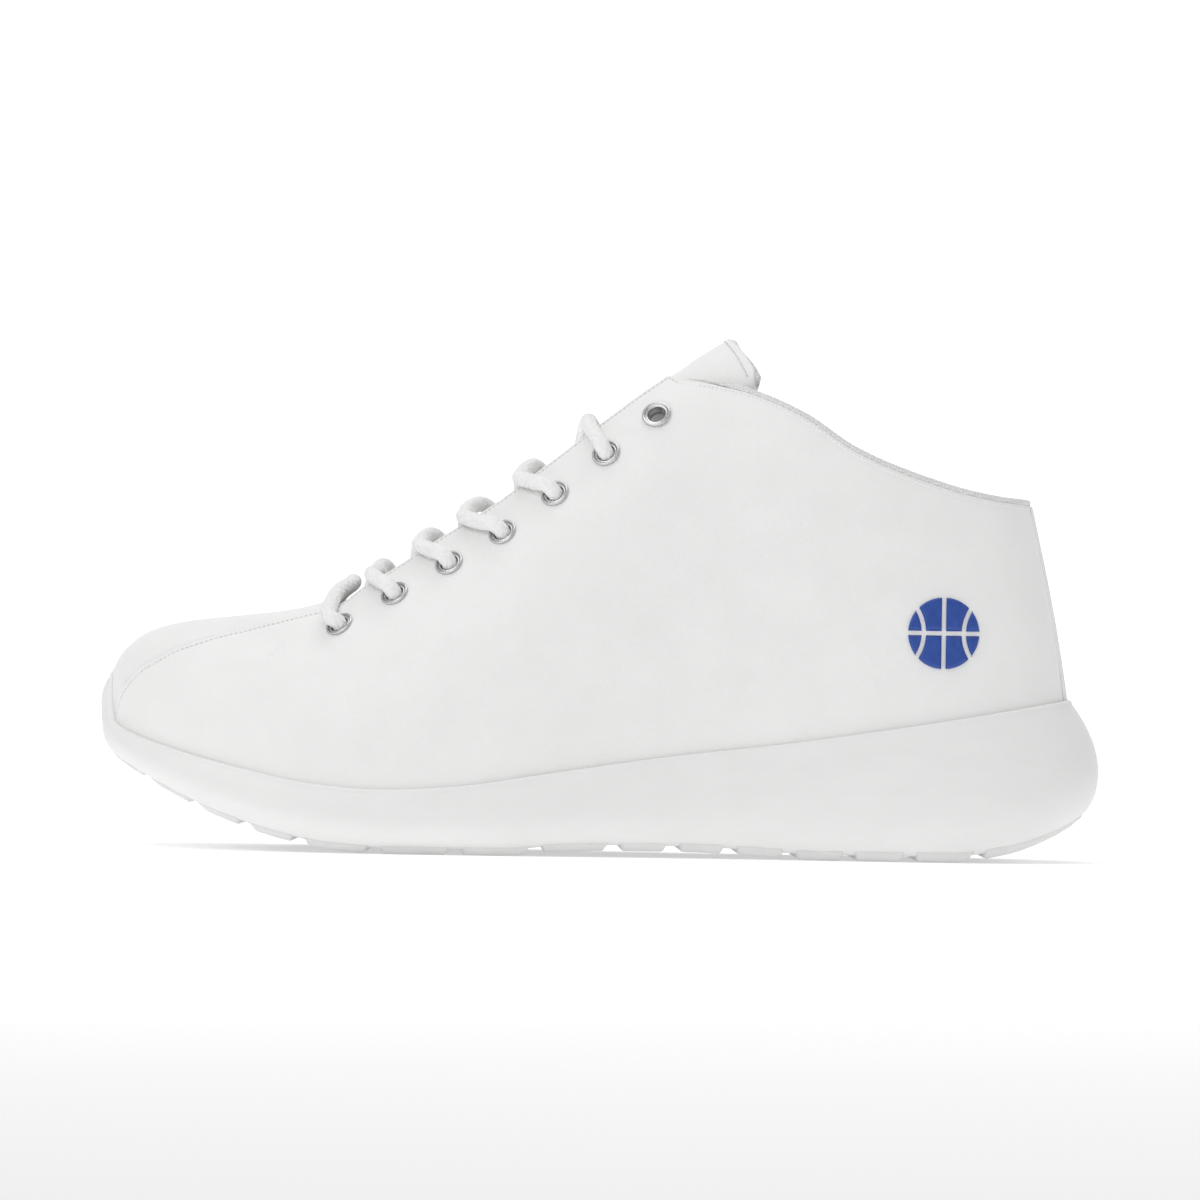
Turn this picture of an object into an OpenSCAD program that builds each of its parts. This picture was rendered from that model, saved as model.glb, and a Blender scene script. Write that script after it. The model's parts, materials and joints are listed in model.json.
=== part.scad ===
// Mid-cut lace-up basketball shoe for the left foot.
// Toe at -X, heel at +X, outer (lateral) side at -Y, tread on Z = 0. Millimetres.

/* [Shoe] */
// Outside length of the sole, toe to heel
shoe_length = 295; // [285:1:305]
// Thickness of the outer shell fabric
shell_t = 1.2; // [0.9:0.1:1.2]
// Thickness of the lining fabric
lining_t = 0.6; // [0.4:0.1:0.6]
// Thickness of the hidden stiffeners (toe puff, heel counter, eyestay backers)
stiffener_t = 0.65; // [0.4:0.05:0.65]
// Greatest thickness of the collar foam
collar_foam_t = 4.2; // [2:0.2:4.6]

/* [Closure] */
// Eyelets on each side
eyelet_rows = 7; // [7:1:7]
// Rows that the lace goes through, from the toe end
laced_rows = 6; // [6:1:6]
// Place of the first eyelet row along the shoe
first_row_x = -76; // [-78:0.5:-76]
// Distance between eyelet rows along the shoe
row_pitch = 15.1; // [15:0.05:15.4]
// Outside diameter of an eyelet's flange
eyelet_flange_d = 8.6; // [8:0.1:9]
// Diameter of the hole through an eyelet
eyelet_bore_d = 5.2; // [4.8:0.1:5.4]
// Diameter of the round lace
lace_d = 4; // [3.8:0.1:4.1]
// Length of an aglet
aglet_length = 22; // [18:1:24]

/* [Tongue] */
// Thickness of the tongue's foam
tongue_foam_t = 3.4; // [2.4:0.2:3.6]
// Thickness of each tongue cover
tongue_cover_t = 0.8; // [0.6:0.1:0.8]
// Radius of the bound top edge
tongue_binding_r = 2.2; // [1.8:0.1:2.4]

/* [Sole] */
// Depth of the tread pods
tread_depth = 1.7; // [1.4:0.1:2]
// Width of the grooves between pods
groove_w = 5.2; // [4:0.1:6]
// Thickness of the insole board
board_t = 1.1; // [0.9:0.1:1.1]
// Thickness of the sockliner
sockliner_t = 4.4; // [3.5:0.1:5]

/* [Badge] */
// Diameter of the round badge
badge_d = 21; // [18:0.5:23]
// Thickness of the badge
badge_t = 0.9; // [0.5:0.1:1.2]

/* [Hidden] */

shell_white = "#f1f1f0";
foam_white = "#ececea";
lining_white = "#e4e4e2";
board_grey = "#d8d5cd";
metal_grey = "#b9bbbd";
badge_blue = "#20459b";

size_k = shoe_length / 295;
glue = 0.15;            // gap left between layers that are bonded on the real shoe
shell_in = shell_t;     // depths below the outer surface, layer by layer
stiff_out = shell_in + 0.3;
stiff_in = stiff_out + stiffener_t;
lining_out = stiff_in + 0.1;
lining_in = lining_out + lining_t;
washer_t = 0.5;
barrel_l = stiff_in + washer_t + 0.3;                 // how far an eyelet's barrel reaches inwards
under_lace = barrel_l + 0.1 + lace_d / 2;             // depth of the lace where it runs under the eyestay

// ---- Outline and profile curves: the points that give the shoe its shape ----

// Where upper and insole board meet, in plan: control points of one closed cubic B-spline.
// It starts at the toe, runs down the outer side to the heel and back up the inner side.
feather = [
    [-146.9, 10.8], [-140, -15.2], [-116, -41.2], [-76, -52.2], [-32, -48.2], [12, -37.2], [54, -33.2],
    [94, -34.2], [129.5, -24.2], [143.6, 2.8], [129.5, 29.8], [92, 37.8], [52, 31.8], [10, 31.8],
    [-32, 42.8], [-74, 51.8], [-113, 48.8], [-140, 35.8]
];
turns = len(feather);   // the spline's parameter at the end of the loop
heel_at = turns / 2;    // and at the back of the heel

// Height of the insole board
bed = [
    [-144.6, 33], [-135, 30.5], [-122, 26], [-104, 21], [-81, 16], [-60, 14], [-42, 14], [-17, 15],
    [19, 18], [55, 22], [88, 27], [120, 30.5], [140, 31.5]
];
// Height of the upper's ridge line, carried on above the collar as the top of the cross-sections
ridge = [
    [-144.6, 51], [-141, 57.3], [-134, 63], [-124, 66.2], [-106, 68.6], [-94, 70.1], [-83, 72.6],
    [-77, 76], [-70, 82], [-61, 88], [-46, 98.8], [-30, 109.3], [-15, 121], [0, 133], [13, 142.7],
    [18.6, 146.2], [24.5, 150.5], [30, 154.2], [34.5, 157.4], [48, 178], [64, 212], [90, 226], [140, 226]
];
// Sideways place of the ridge
ridge_side = [[-144.6, 10.6], [-110, 4.8], [-75, 1.8], [-32, 0.8], [10, 0.8], [54, 1.3], [110, 2.8]];
// Exponents of the cross-sections: plan, then height
round_side = [
    [-145, 2.3], [-115, 2.3], [-95, 1.95], [-77, 1.65], [-45, 1.65], [-15, 1.8], [15, 1.9],
    [45, 1.6], [70, 1.3], [100, 1.08], [140, 1]
];
round_top = [
    [-145, 2.2], [-115, 2.2], [-95, 1.9], [-77, 1.7], [-45, 2], [-15, 2.6], [15, 3.2],
    [45, 3.2], [70, 2.6], [100, 1.75], [140, 1.35]
];
// Half the width of the vamp panel, then of the throat between the eyestays
throat = [
    [-143.5, 12.4], [-141.5, 15], [-138.2, 18.8], [-134.4, 21.6], [-127.5, 24.3], [-117.5, 24.9],
    [-106.5, 22.5], [-95.5, 16.8], [-83, 11.8], [-75, 13.3], [-45, 13.5], [0, 13], [15, 12], [22, 8],
    [30, 0.2]
];
// Height of the topline
topline = [
    [11, 160], [16, 145], [21.5, 140], [28, 139.2], [37.5, 137.4], [45, 135], [58, 129.2],
    [73, 119.8], [84, 115.2], [98, 111], [113, 107.6], [127, 105.8], [140, 105]
];
// Distance of the eyelets from the ridge, on the outer and on the steeper inner side
eyelet_side = [
    [[-77, 23.7], [-60, 24.7], [-30, 25.3], [0, 23.4], [15, 21.2]],
    [[-77, 21.6], [-60, 22], [-30, 22], [0, 20], [15, 18.6]]
];

// Height of the line where the upper comes out of the midsole
lip = [
    [-144.6, 37.5], [-137.6, 34], [-122, 29], [-104, 24.5], [-81, 20], [-63, 18.8], [-42, 20],
    [-17, 23.9], [19, 29.6], [55, 34.2], [88, 39.3], [140, 48.2]
];
toe_peak = 13.5;        // how much the lip rises at the tip of the toe
toe_peak_w = 8.5;       // and over what width
// Height of the tread
tread = [
    [-147.5, 31], [-141.3, 25.5], [-132.4, 20.3], [-116.3, 12.2], [-106, 8.1], [-93, 4], [-77, 0.9],
    [-60, 0], [-27, 0], [-14, 1.2], [6, 1.8], [24, 1.8], [42, 1.2], [58, 0.2], [66, 0], [104, 0],
    [112.3, 1.1], [121.7, 3.1], [130.5, 6.4], [136.3, 9.3], [142.1, 13.5], [147.5, 21]
];
// How far the midsole's sides bulge past the upper, how far they tuck in below, how high the bulge is
bulge = [[-145, 3], [-100, 4], [-30, 4.5], [30, 4.5], [90, 6], [138, 8.5]];
tuck = [[-147, 6], [-110, 8], [0, 9], [100, 9], [138, 7.5]];
bulge_at = [[-147, 0.67], [-130, 0.55], [-100, 0.45], [0, 0.42], [100, 0.4], [147, 0.37]];
lip_w = 1.9;            // width of the rounded edge round the upper
cup_gap = 0.3;          // gap between the cup's wall and the upper

// ---- Curves and surfaces ----

function secant(c, i) = (c[i + 1][1] - c[i][1]) / (c[i + 1][0] - c[i][0]);
function knot_slope(c, i) =
    i == 0 ? secant(c, 0)
    : i == len(c) - 1 ? secant(c, i - 1)
    : let (a = secant(c, i - 1), b = secant(c, i)) a * b <= 0 ? 0 : 2 * a * b / (a + b);
function segment(c, x, i = 0) = i >= len(c) - 2 || x < c[i + 1][0] ? i : segment(c, x, i + 1);

// A smooth curve through points [x, y] that never overshoots them
function curve(c, x) =
    let (
        at = min(max(x, c[0][0]), c[len(c) - 1][0]),
        i = segment(c, at),
        h = c[i + 1][0] - c[i][0],
        u = (at - c[i][0]) / h
    )
    c[i][1] * (1 + 2 * u) * (1 - u) ^ 2 + knot_slope(c, i) * h * u * (1 - u) ^ 2
    + c[i + 1][1] * u * u * (3 - 2 * u) + knot_slope(c, i + 1) * h * u * u * (u - 1);
// The same, for a curve of lengths, at the shoe's size
function profile(c, x) = size_k * curve(c, x / size_k);

function bspline(c, u) =
    let (n = len(c), i = floor(u), f = u - i)
    (c[(i + n - 1) % n] * (1 - f) ^ 3 + c[i % n] * (3 * f ^ 3 - 6 * f ^ 2 + 4)
     + c[(i + 1) % n] * (-3 * f ^ 3 + 3 * f ^ 2 + 3 * f + 1) + c[(i + 2) % n] * f ^ 3) / 6;
function bspline_slope(c, u) =
    let (n = len(c), i = floor(u), f = u - i)
    (-c[(i + n - 1) % n] * (1 - f) ^ 2 + c[i % n] * (3 * f ^ 2 - 4 * f)
     + c[(i + 1) % n] * (-3 * f ^ 2 + 2 * f + 1) + c[(i + 2) % n] * f ^ 2) / 2;

function unit(v) = v / norm(v);
function mix(a, b, f) = a + (b - a) * f;
function ease(a, b, x) = let (f = min(max((x - a) / (b - a), 0), 1)) f * f * (3 - 2 * f);
function soft_min(a, b, k) = min(a, b) - max(k - abs(a - b), 0) ^ 2 / (4 * k);

// A point of the outline at parameter u, moved inwards by d
function outline(u, d = 0) =
    let (t = unit(bspline_slope(feather, u))) size_k * bspline(feather, u) + [-t.y, t.x] * d;
function along(u, d = 0) = (outline(u, d).x + outline(turns - u, d).x) / 2;

// The cross-sections stand square to the shoe as far as fan_x, then fan out round the heel.
fan_x = 40 * size_k;
fan_l = 100 * size_k;
function fanned(x) = x < fan_x ? x : let (f = (x - fan_x) / fan_l) fan_x + fan_l * (f - f * f / 2);

// One cross-section: [foot point, direction to the ridge, half width, low z, high z, exponents, x]
function section(u, d = 0) =
    let (
        foot = outline(u, d),
        x = along(u, d),
        top = [fanned(x), profile(ridge_side, fanned(x))]
    )
    [foot, unit(top - foot), norm(top - foot), profile(bed, x), profile(ridge, x) - d,
     curve(round_side, x / size_k), curve(round_top, x / size_k), x];
// The point of a section at angle a, from 0 at the feather edge to 90 at the ridge
function on_section(s, a) =
    let (
        inward = s[2] * (1 - cos(a) ^ (2 / s[5])),
        z = s[3] + (s[4] - s[3]) * sin(a) ^ (2 / s[6])
    )
    [s[0].x + s[1].x * inward, s[0].y + s[1].y * inward, z];
// The angle at a distance from the ridge, and at a height
function angle_at_side(s, side) = acos(min(1, side / s[2]) ^ (s[5] / 2));
function angle_at_height(s, z) = asin(min(1, max(0, (z - s[3]) / (s[4] - s[3]))) ^ (s[6] / 2));
// The angle of the upper's top edge, a gap short of it: vamp seam, throat edge and topline in one line
function edge_angle(s, gap = 0) = soft_min(
    angle_at_side(s, profile(throat, s[7]) + gap), angle_at_height(s, profile(topline, s[7]) - gap), 7);

// The parameter on the outer side at which sections have a given x
function u_at(x, lo = 0.02, hi = heel_at, n = 18) =
    n == 0 ? (lo + hi) / 2
    : let (m = (lo + hi) / 2) along(m) < x ? u_at(x, m, hi, n - 1) : u_at(x, lo, m, n - 1);
function other(u, medial) = medial ? turns - u : u;
// A point at x and a signed distance from the ridge (outer side negative), d deep
function at_side(x, side, d = 0) =
    let (s = section(other(u_at(x), side > 0), d)) on_section(s, angle_at_side(s, abs(side)));
// A point of the outer side seen square from that side at x and z, d deep
function side_point(x, z, d = 0, lo = 0.5, hi = heel_at, n = 16) =
    let (m = (lo + hi) / 2, s = section(m, d), p = on_section(s, angle_at_height(s, z)))
    n == 0 ? p : p.x < x ? side_point(x, z, d, m, hi, n - 1) : side_point(x, z, d, lo, m, n - 1);
// The surface's outward direction there, and the point a true depth d under it
function normal_at(x, side) =
    let (
        e = 0.5,
        a = at_side(x + e, side) - at_side(x - e, side),
        b = at_side(x, side + e) - at_side(x, side - e)
    )
    unit(cross(a, b));
function under(x, side, d) = at_side(x, side) - normal_at(x, side) * d;

// ---- Solids from grids of points ----

function quad(a, b, c, d, turn) = turn ? [[a, c, b], [a, d, c]] : [[a, b, c], [a, c, d]];

// A closed solid between two grids of the same size
module grid_solid(outer, inner) {
    rows = len(outer);
    cols = len(outer[0]);
    i = floor(rows / 2) - 1;
    j = floor(cols / 2) - 1;
    turn = cross(outer[i + 1][j] - outer[i][j], outer[i][j + 1] - outer[i][j])
        * (outer[i][j] - inner[i][j]) > 0;
    n = rows * cols;
    points = [for (g = [outer, inner]) for (r = g) for (p = r) p];
    function id(r, c, side) = side * n + r * cols + c;
    faces = [
        for (r = [0:rows - 2]) for (c = [0:cols - 2]) each quad(
            id(r, c, 0), id(r, c + 1, 0), id(r + 1, c + 1, 0), id(r + 1, c, 0), !turn),
        for (r = [0:rows - 2]) for (c = [0:cols - 2]) each quad(
            id(r, c, 1), id(r, c + 1, 1), id(r + 1, c + 1, 1), id(r + 1, c, 1), turn),
        for (r = [0:rows - 2]) each quad(id(r, 0, 0), id(r + 1, 0, 0), id(r + 1, 0, 1), id(r, 0, 1), !turn),
        for (r = [0:rows - 2]) each quad(
            id(r, cols - 1, 0), id(r + 1, cols - 1, 0), id(r + 1, cols - 1, 1), id(r, cols - 1, 1), turn),
        for (c = [0:cols - 2]) each quad(id(0, c, 0), id(0, c + 1, 0), id(0, c + 1, 1), id(0, c, 1), turn),
        for (c = [0:cols - 2]) each quad(
            id(rows - 1, c, 0), id(rows - 1, c + 1, 0), id(rows - 1, c + 1, 1), id(rows - 1, c, 1), !turn)
    ];
    polyhedron(points, faces, convexity = 8);
}

// A closed solid through rings whose first half mirrors the second, so that strips close its ends
module ring_solid(rings) {
    m = len(rings[0]);
    last = (len(rings) - 1) * m;
    faces = [
        for (r = [0:len(rings) - 2]) for (k = [0:m - 1]) each quad(
            r * m + k, r * m + (k + 1) % m, (r + 1) * m + (k + 1) % m, (r + 1) * m + k, true),
        for (k = [0:m / 2 - 2]) each quad(k, m - 1 - k, m - 2 - k, k + 1, true),
        for (k = [0:m / 2 - 2]) each quad(last + k, last + m - 1 - k, last + m - 2 - k, last + k + 1, false)
    ];
    polyhedron([for (r = rings) for (p = r) p], faces, convexity = 8);
}

// A round tube along a line of points
module tube(line, r, sides = 8) {
    n = len(line);
    dirs = [for (i = [0:n - 1]) unit(line[min(i + 1, n - 1)] - line[max(i - 1, 0)])];
    first = unit(cross(dirs[0], abs(dirs[0].x) < 0.8 ? [1, 0, 0] : [0, 1, 0]));
    function carried(i, v) = let (w = unit(v - dirs[i] * (dirs[i] * v)))
        i == n - 1 ? [w] : concat([w], carried(i + 1, w));
    ups = carried(0, first);
    points = [
        for (i = [0:n - 1]) for (k = [0:sides - 1])
            line[i] + r * (cos(360 * k / sides) * ups[i] + sin(360 * k / sides) * cross(dirs[i], ups[i]))
    ];
    faces = [
        [for (k = [0:sides - 1]) k],
        [for (k = [sides - 1:-1:0]) (n - 1) * sides + k],
        for (i = [0:n - 2]) for (k = [0:sides - 1]) each quad(
            i * sides + k, i * sides + (k + 1) % sides,
            (i + 1) * sides + (k + 1) % sides, (i + 1) * sides + k, true)
    ];
    polyhedron(points, faces, convexity = 10);
}

// A smooth line through points, with steps between each two
function smooth_line(p, steps) = [
    for (i = [0:len(p) - 2]) for (s = [0:steps - 1])
        let (a = p[max(i - 1, 0)], b = p[i], c = p[i + 1], d = p[min(i + 2, len(p) - 1)], f = s / steps)
        (2 * b + (c - a) * f + (2 * a - 5 * b + 4 * c - d) * f ^ 2 + (3 * b - a - 3 * c + d) * f ^ 3) / 2,
    p[len(p) - 1]
];

// Parameters from a to b, closer together near the toe and the heel
function stations(a, b, n) = [
    for (i = [0:n]) let (f = i / n, c = (1 - cos(180 * f)) / 2) mix(a, b, mix(f, c, 0.45))
];

// ---- Upper ----

seam_start = u_at(-142.6 * size_k);     // where a quarter begins beside the toe
vamp_end_x = -77.5 * size_k;
heel_seam = 0.012;                      // half the gap at the heel seam, as a parameter
quarter_us = stations(seam_start, heel_at - heel_seam, 38);

// A layer of one quarter between two depths, from one edge angle to another
function quarter_grid(us, medial, d, low, high, rows) = [
    for (u = us) let (s = section(other(u, medial), d))
        [for (i = [0:rows]) on_section(s, mix(low(s), high(s), i / rows))]
];

module eyelet_holes(medial, r) {
    for (i = [0:eyelet_rows - 1]) at_eyelet(i, medial)
        translate([0, 0, -6]) cylinder(r = r, h = 10, $fn = 12);
}

module quarter(medial) {
    feather_edge = function (s) 0;
    top_edge = function (s) max(edge_angle(s, 0.1), 1.5);
    color(shell_white) difference() {
        grid_solid(
            quarter_grid(quarter_us, medial, 0, feather_edge, top_edge, 8),
            quarter_grid(quarter_us, medial, shell_in, feather_edge, top_edge, 8));
        eyelet_holes(medial, barrel_r + 0.12);
    }
}

// Points across the toe from the outer side's angle to the inner side's, over the ridge
function toe_grid(us, d, low, half) = [
    for (u = us)
        let (l = section(u, d), m = section(turns - u, d))
        concat(
            [for (i = [0:half]) on_section(l, mix(low(l), 90, i / half))],
            [for (i = [half - 1:-1:0]) on_section(m, mix(low(m), 90, i / half))])
];

lining_seam_x = -83 * size_k;           // where the vamp's lining meets the quarters' linings
toe_us = stations(0.05, u_at(vamp_end_x), 16);

module vamp() {
    seam = function (s) s[2] <= profile(throat, s[7]) ? 0 : edge_angle(s, -0.15);
    color(shell_white) grid_solid(toe_grid(toe_us, 0, seam, 6), toe_grid(toe_us, shell_in, seam, 6));
}

module toe_puff() {
    low = function (s) 0;
    us = [for (i = [0:9]) toe_us[i]];
    color(board_grey) grid_solid(toe_grid(us, stiff_out, low, 6), toe_grid(us, stiff_in, low, 6));
}

module vamp_lining() {
    low = function (s) 0;
    us = [for (u = toe_us) min(u, u_at(lining_seam_x - 0.5))];
    last = search(us[16], us)[0];
    lining_toe = [for (i = [0:last]) us[i]];
    color(lining_white)
        grid_solid(toe_grid(lining_toe, lining_out, low, 6), toe_grid(lining_toe, lining_in, low, 6));
}

counter_top_z = 66 * size_k;
module heel_counter() {
    us = [for (i = [0:16]) mix(7, 11, i / 16)];
    function wrap(d) = [
        for (u = us) let (s = section(u, d), a = angle_at_height(s, counter_top_z - 3 * abs(u - heel_at)))
            [for (i = [0:4]) on_section(s, a * i / 4)]
    ];
    color(board_grey) grid_solid(wrap(stiff_out), wrap(stiff_in));
}

backer_w = [18, 14];    // width of the backing strips behind the eyelets, outer and inner side
module eyestay_backer(medial) {
    us = [for (i = [0:20]) u_at(mix(-76.5, 20, i / 20) * size_k)];
    low = function (s) angle_at_side(s, profile(throat, s[7]) + backer_w[medial ? 1 : 0]);
    high = function (s) edge_angle(s, 1);
    color(lining_white) difference() {
        grid_solid(
            quarter_grid(us, medial, stiff_out, low, high, 5),
            quarter_grid(us, medial, stiff_in, low, high, 5));
        eyelet_holes(medial, barrel_r + 0.12);
    }
}

// The collar foam fills a band under the topline, deepest a third of the way down it.
foam_start_x = 60 * size_k;
foam_band = 37 * size_k;
function foam_depth(x, z) =
    let (f = (profile(topline, x) - z) / foam_band)
    f <= 0 || f >= 1 ? 0
    : collar_foam_t * ease(foam_start_x, foam_start_x + 18, x) * sin(180 * (1 - f) ^ 1.6) ^ 0.8;
function lined(u, a, out) =
    let (
        s = section(u, out),
        p = on_section(s, a),
        deep = section(u, out + foam_depth(s[7], p.z))
    )
    on_section(deep, angle_at_height(deep, p.z));

// Distance of the lining's front edge from the ridge, outer and inner side
lining_edge = [[[-80, 33], [10, 32], [20, 22], [30, 0.2]], [[-80, 30], [-40, 29], [10, 26.5], [20, 20], [30, 0.2]]];
lining_us = [
    for (i = [0:11]) mix(u_at(lining_seam_x + 0.5), u_at(foam_start_x), i / 12),
    for (i = [0:12]) mix(u_at(foam_start_x), heel_at - (i == 12 ? heel_seam : 0), i / 12)
];
foam_rows = 6;
module quarter_lining(medial) {
    function top_angle(s) = min(
        angle_at_side(s, profile(lining_edge[medial ? 1 : 0], s[7])),
        angle_at_height(s, profile(topline, s[7]) - 0.6));
    // Two rows below the foam's band, then the foam's own rows
    function layer(out) = [
        for (u = lining_us)
            let (
                s = section(other(u, medial), lining_out),
                top = top_angle(s),
                z = profile(topline, s[7]),
                low = min(angle_at_height(s, z - foam_band), top * 0.6)
            )
            concat(
                [for (i = [0:1]) lined(other(u, medial), low * i / 2, out)],
                [for (i = [0:foam_rows - 1])
                    lined(other(u, medial), min(max(low, angle_at_height(s, z - foam_band * (1 - i / foam_rows))),
                        mix(low, top, 0.9)), out)],
                [lined(other(u, medial), top, out)])
    ];
    color(lining_white) grid_solid(layer(lining_out), layer(lining_in));
}

module collar_foam() {
    us = [for (i = [0:24]) mix(u_at(foam_start_x), turns - u_at(foam_start_x), i / 24)];
    function band(d) = [
        for (u = us) let (s = section(u, stiff_out), z = profile(topline, s[7]))
            [for (i = [0:foam_rows]) lined_at(u, z - foam_band * (1 - mix(0.02, foam_rows - 0.35, i / foam_rows) / foam_rows), d)]
    ];
    function lined_at(u, z, d) =
        let (s = section(u, d == 0 ? stiff_out : lining_out - 0.3 + foam_depth(along(u), z)))
        on_section(s, angle_at_height(s, z));
    color("#f3e7b8") grid_solid(band(0), band(1));
}

// The binding closes the gap between shell and lining along the topline.
binding_rise = 1.8;
module collar_binding() {
    start = u_at(24 * size_k);
    us = [for (i = [0:38]) mix(start, turns - start, i / 38)];
    ring = 8;
    // A flat oval standing on the edge, from the shell's outside to the lining's inside
    function oval(u) =
        let (
            s0 = section(u),
            a = edge_angle(s0),
            outside = on_section(s0, a),
            inside = lined(u, angle_at_height(section(u, lining_in), outside.z), lining_in),
            mid = (outside + inside) / 2 + [0, 0, binding_rise / 2 - 0.05],
            wide = norm(outside - inside) / 2 + 0.1,
            dir = unit([inside.x - outside.x, inside.y - outside.y, 0])
        )
        [for (k = [0:ring - 1]) mid + dir * wide * cos(360 * (k + 0.5) / ring)
            + [0, 0, binding_rise / 2] * sin(360 * (k + 0.5) / ring)];
    color(shell_white) ring_solid([for (u = us) oval(u)]);
}

strip_half_w = 0.24;    // half the heel strip's width, as an outline parameter
module heel_strip() {
    us = [for (i = [0:6]) heel_at + strip_half_w * mix(-1, 1, i / 6)];
    function face(d) = [
        for (u = us) let (s = section(u, d), low = angle_at_height(s, profile(lip, s[7]) + 1.2))
            [for (i = [0:10]) on_section(s, mix(low, angle_at_height(s, profile(topline, s[7]) - 0.8), i / 10))]
    ];
    color(shell_white) grid_solid(face(-0.75), face(-0.1));
}

// ---- Tongue: hinged on its seam under the vamp's rear edge ----

tongue_start_x = -84 * size_k;
tongue_tip_x = 31 * size_k;
tongue_corner_x = 7.4 * size_k;           // how much further back the top corners lie
// Its half width on the outer and on the inner side
tongue_half_w = [
    [[-84, 12], [-66, 22], [-20, 25], [10, 24], [50, 20]],
    [[-84, 12], [-66, 20], [-20, 20], [10, 19], [50, 17.5]]
];
// Depth of the tongue under the upper's surface: low under the lace, high above it
tongue_depth = [[-84, 3.8], [-76, 8.3], [3, 8.3], [17, 4.4], [50, 4.6]];
tongue_cols = 10;
function tongue_place(f, c) =
    let (
        across = 2 * c / tongue_cols - 1,
        end_x = tongue_tip_x + tongue_corner_x * abs(across) ^ 1.7,
        x = mix(tongue_start_x, end_x, f)
    )
    [x, across * profile(tongue_half_w[across > 0 ? 1 : 0], x), curve(tongue_depth, x / size_k)];
function tongue_layer(d, rows = 14) = [
    for (i = [0:rows]) [for (c = [0:tongue_cols])
        let (p = tongue_place(i / rows, c)) under(p.x, p.y, p[2] + d)]
];
module tongue_sheet(d0, d1) { grid_solid(tongue_layer(d0), tongue_layer(d1)); }
foam_d0 = tongue_cover_t + 0.05;
foam_d1 = foam_d0 + tongue_foam_t;
module tongue_cover() { color(shell_white) tongue_sheet(0, tongue_cover_t); }
module tongue_foam() { color("#f3e7b8") tongue_sheet(foam_d0, foam_d1); }
module tongue_lining() { color(lining_white) tongue_sheet(foam_d1 + 0.05, foam_d1 + 0.05 + tongue_cover_t); }
module tongue_binding() {
    mid_d = (foam_d1 + tongue_cover_t) / 2;
    function mid(f, c) = let (p = tongue_place(f, c)) under(p.x, p.y, p[2] + mid_d);
    edge = [for (c = [0:tongue_cols]) let (
            end = mid(1, c),
            forward = end - mid(0.96, c),
            edge_dir = unit(mid(1, min(c + 1, tongue_cols)) - mid(1, max(c - 1, 0)))
        )
        end + unit(forward - edge_dir * (edge_dir * forward)) * (tongue_binding_r + 0.35)];
    color(shell_white) tube(edge, tongue_binding_r, 10);
}

// ---- Eyelets and lace ----

barrel_r = eyelet_bore_d / 2 + 0.4;
row_bow = 1.4;          // how far the middle rows lie behind an even spacing
flange_base = 0.55;
flange_h = 1.25;
function row_x(i) = (first_row_x + row_pitch * i + row_bow * sin(180 * i / (eyelet_rows - 1))) * size_k;
function hole_side(x, medial) = (medial ? 1 : -1) * profile(eyelet_side[medial ? 1 : 0], x);
function eyelet_point(i, medial) = at_side(row_x(i), hole_side(row_x(i), medial));
function eyelet_normal(i, medial) = normal_at(row_x(i), hole_side(row_x(i), medial));

// Moves its children to an eyelet, with Z along its bore, outwards
module at_eyelet(i, medial) {
    p = eyelet_point(i, medial);
    z = eyelet_normal(i, medial);
    x = unit(cross([0, 1, 0], z));
    y = cross(z, x);
    multmatrix([[x.x, y.x, z.x, p.x], [x.y, y.y, z.y, p.y], [x.z, y.z, z.z, p.z], [0, 0, 0, 1]]) children();
}

module eyelet() {
    bore_r = eyelet_bore_d / 2;
    flange_r = eyelet_flange_d / 2;
    rotate_extrude($fn = 48) polygon([
        [bore_r, -barrel_l], [barrel_r, -barrel_l], [barrel_r, flange_base], [flange_r, flange_base],
        [flange_r, flange_base + 0.3], [flange_r - 0.35, flange_h], [bore_r + 0.5, flange_h], [bore_r, flange_h - 0.4]
    ]);
}
module washer() {
    translate([0, 0, -barrel_l]) difference() {
        cylinder(d = eyelet_flange_d, h = washer_t, $fn = 48);
        translate([0, 0, -1]) cylinder(r = barrel_r + 0.03, h = washer_t + 2, $fn = 48);
    }
}
module eyelets(medial) { color(metal_grey) for (i = [0:eyelet_rows - 1]) at_eyelet(i, medial) eyelet(); }
module washers(medial) { color(metal_grey) for (i = [0:eyelet_rows - 1]) at_eyelet(i, medial) washer(); }

// The lace crosses over between rows: it dives through an eyelet, runs under that eyestay to the
// throat, crosses above the tongue and goes over the other eyestay down into the next eyelet.
bore_entry = 1.5;       // how far outside an eyelet the lace lines up with its bore
bend_out = -3.75;       // depth of the lace where it bends over an eyelet's flange
over_edge = -(lace_d / 2 + 0.25);
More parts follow.
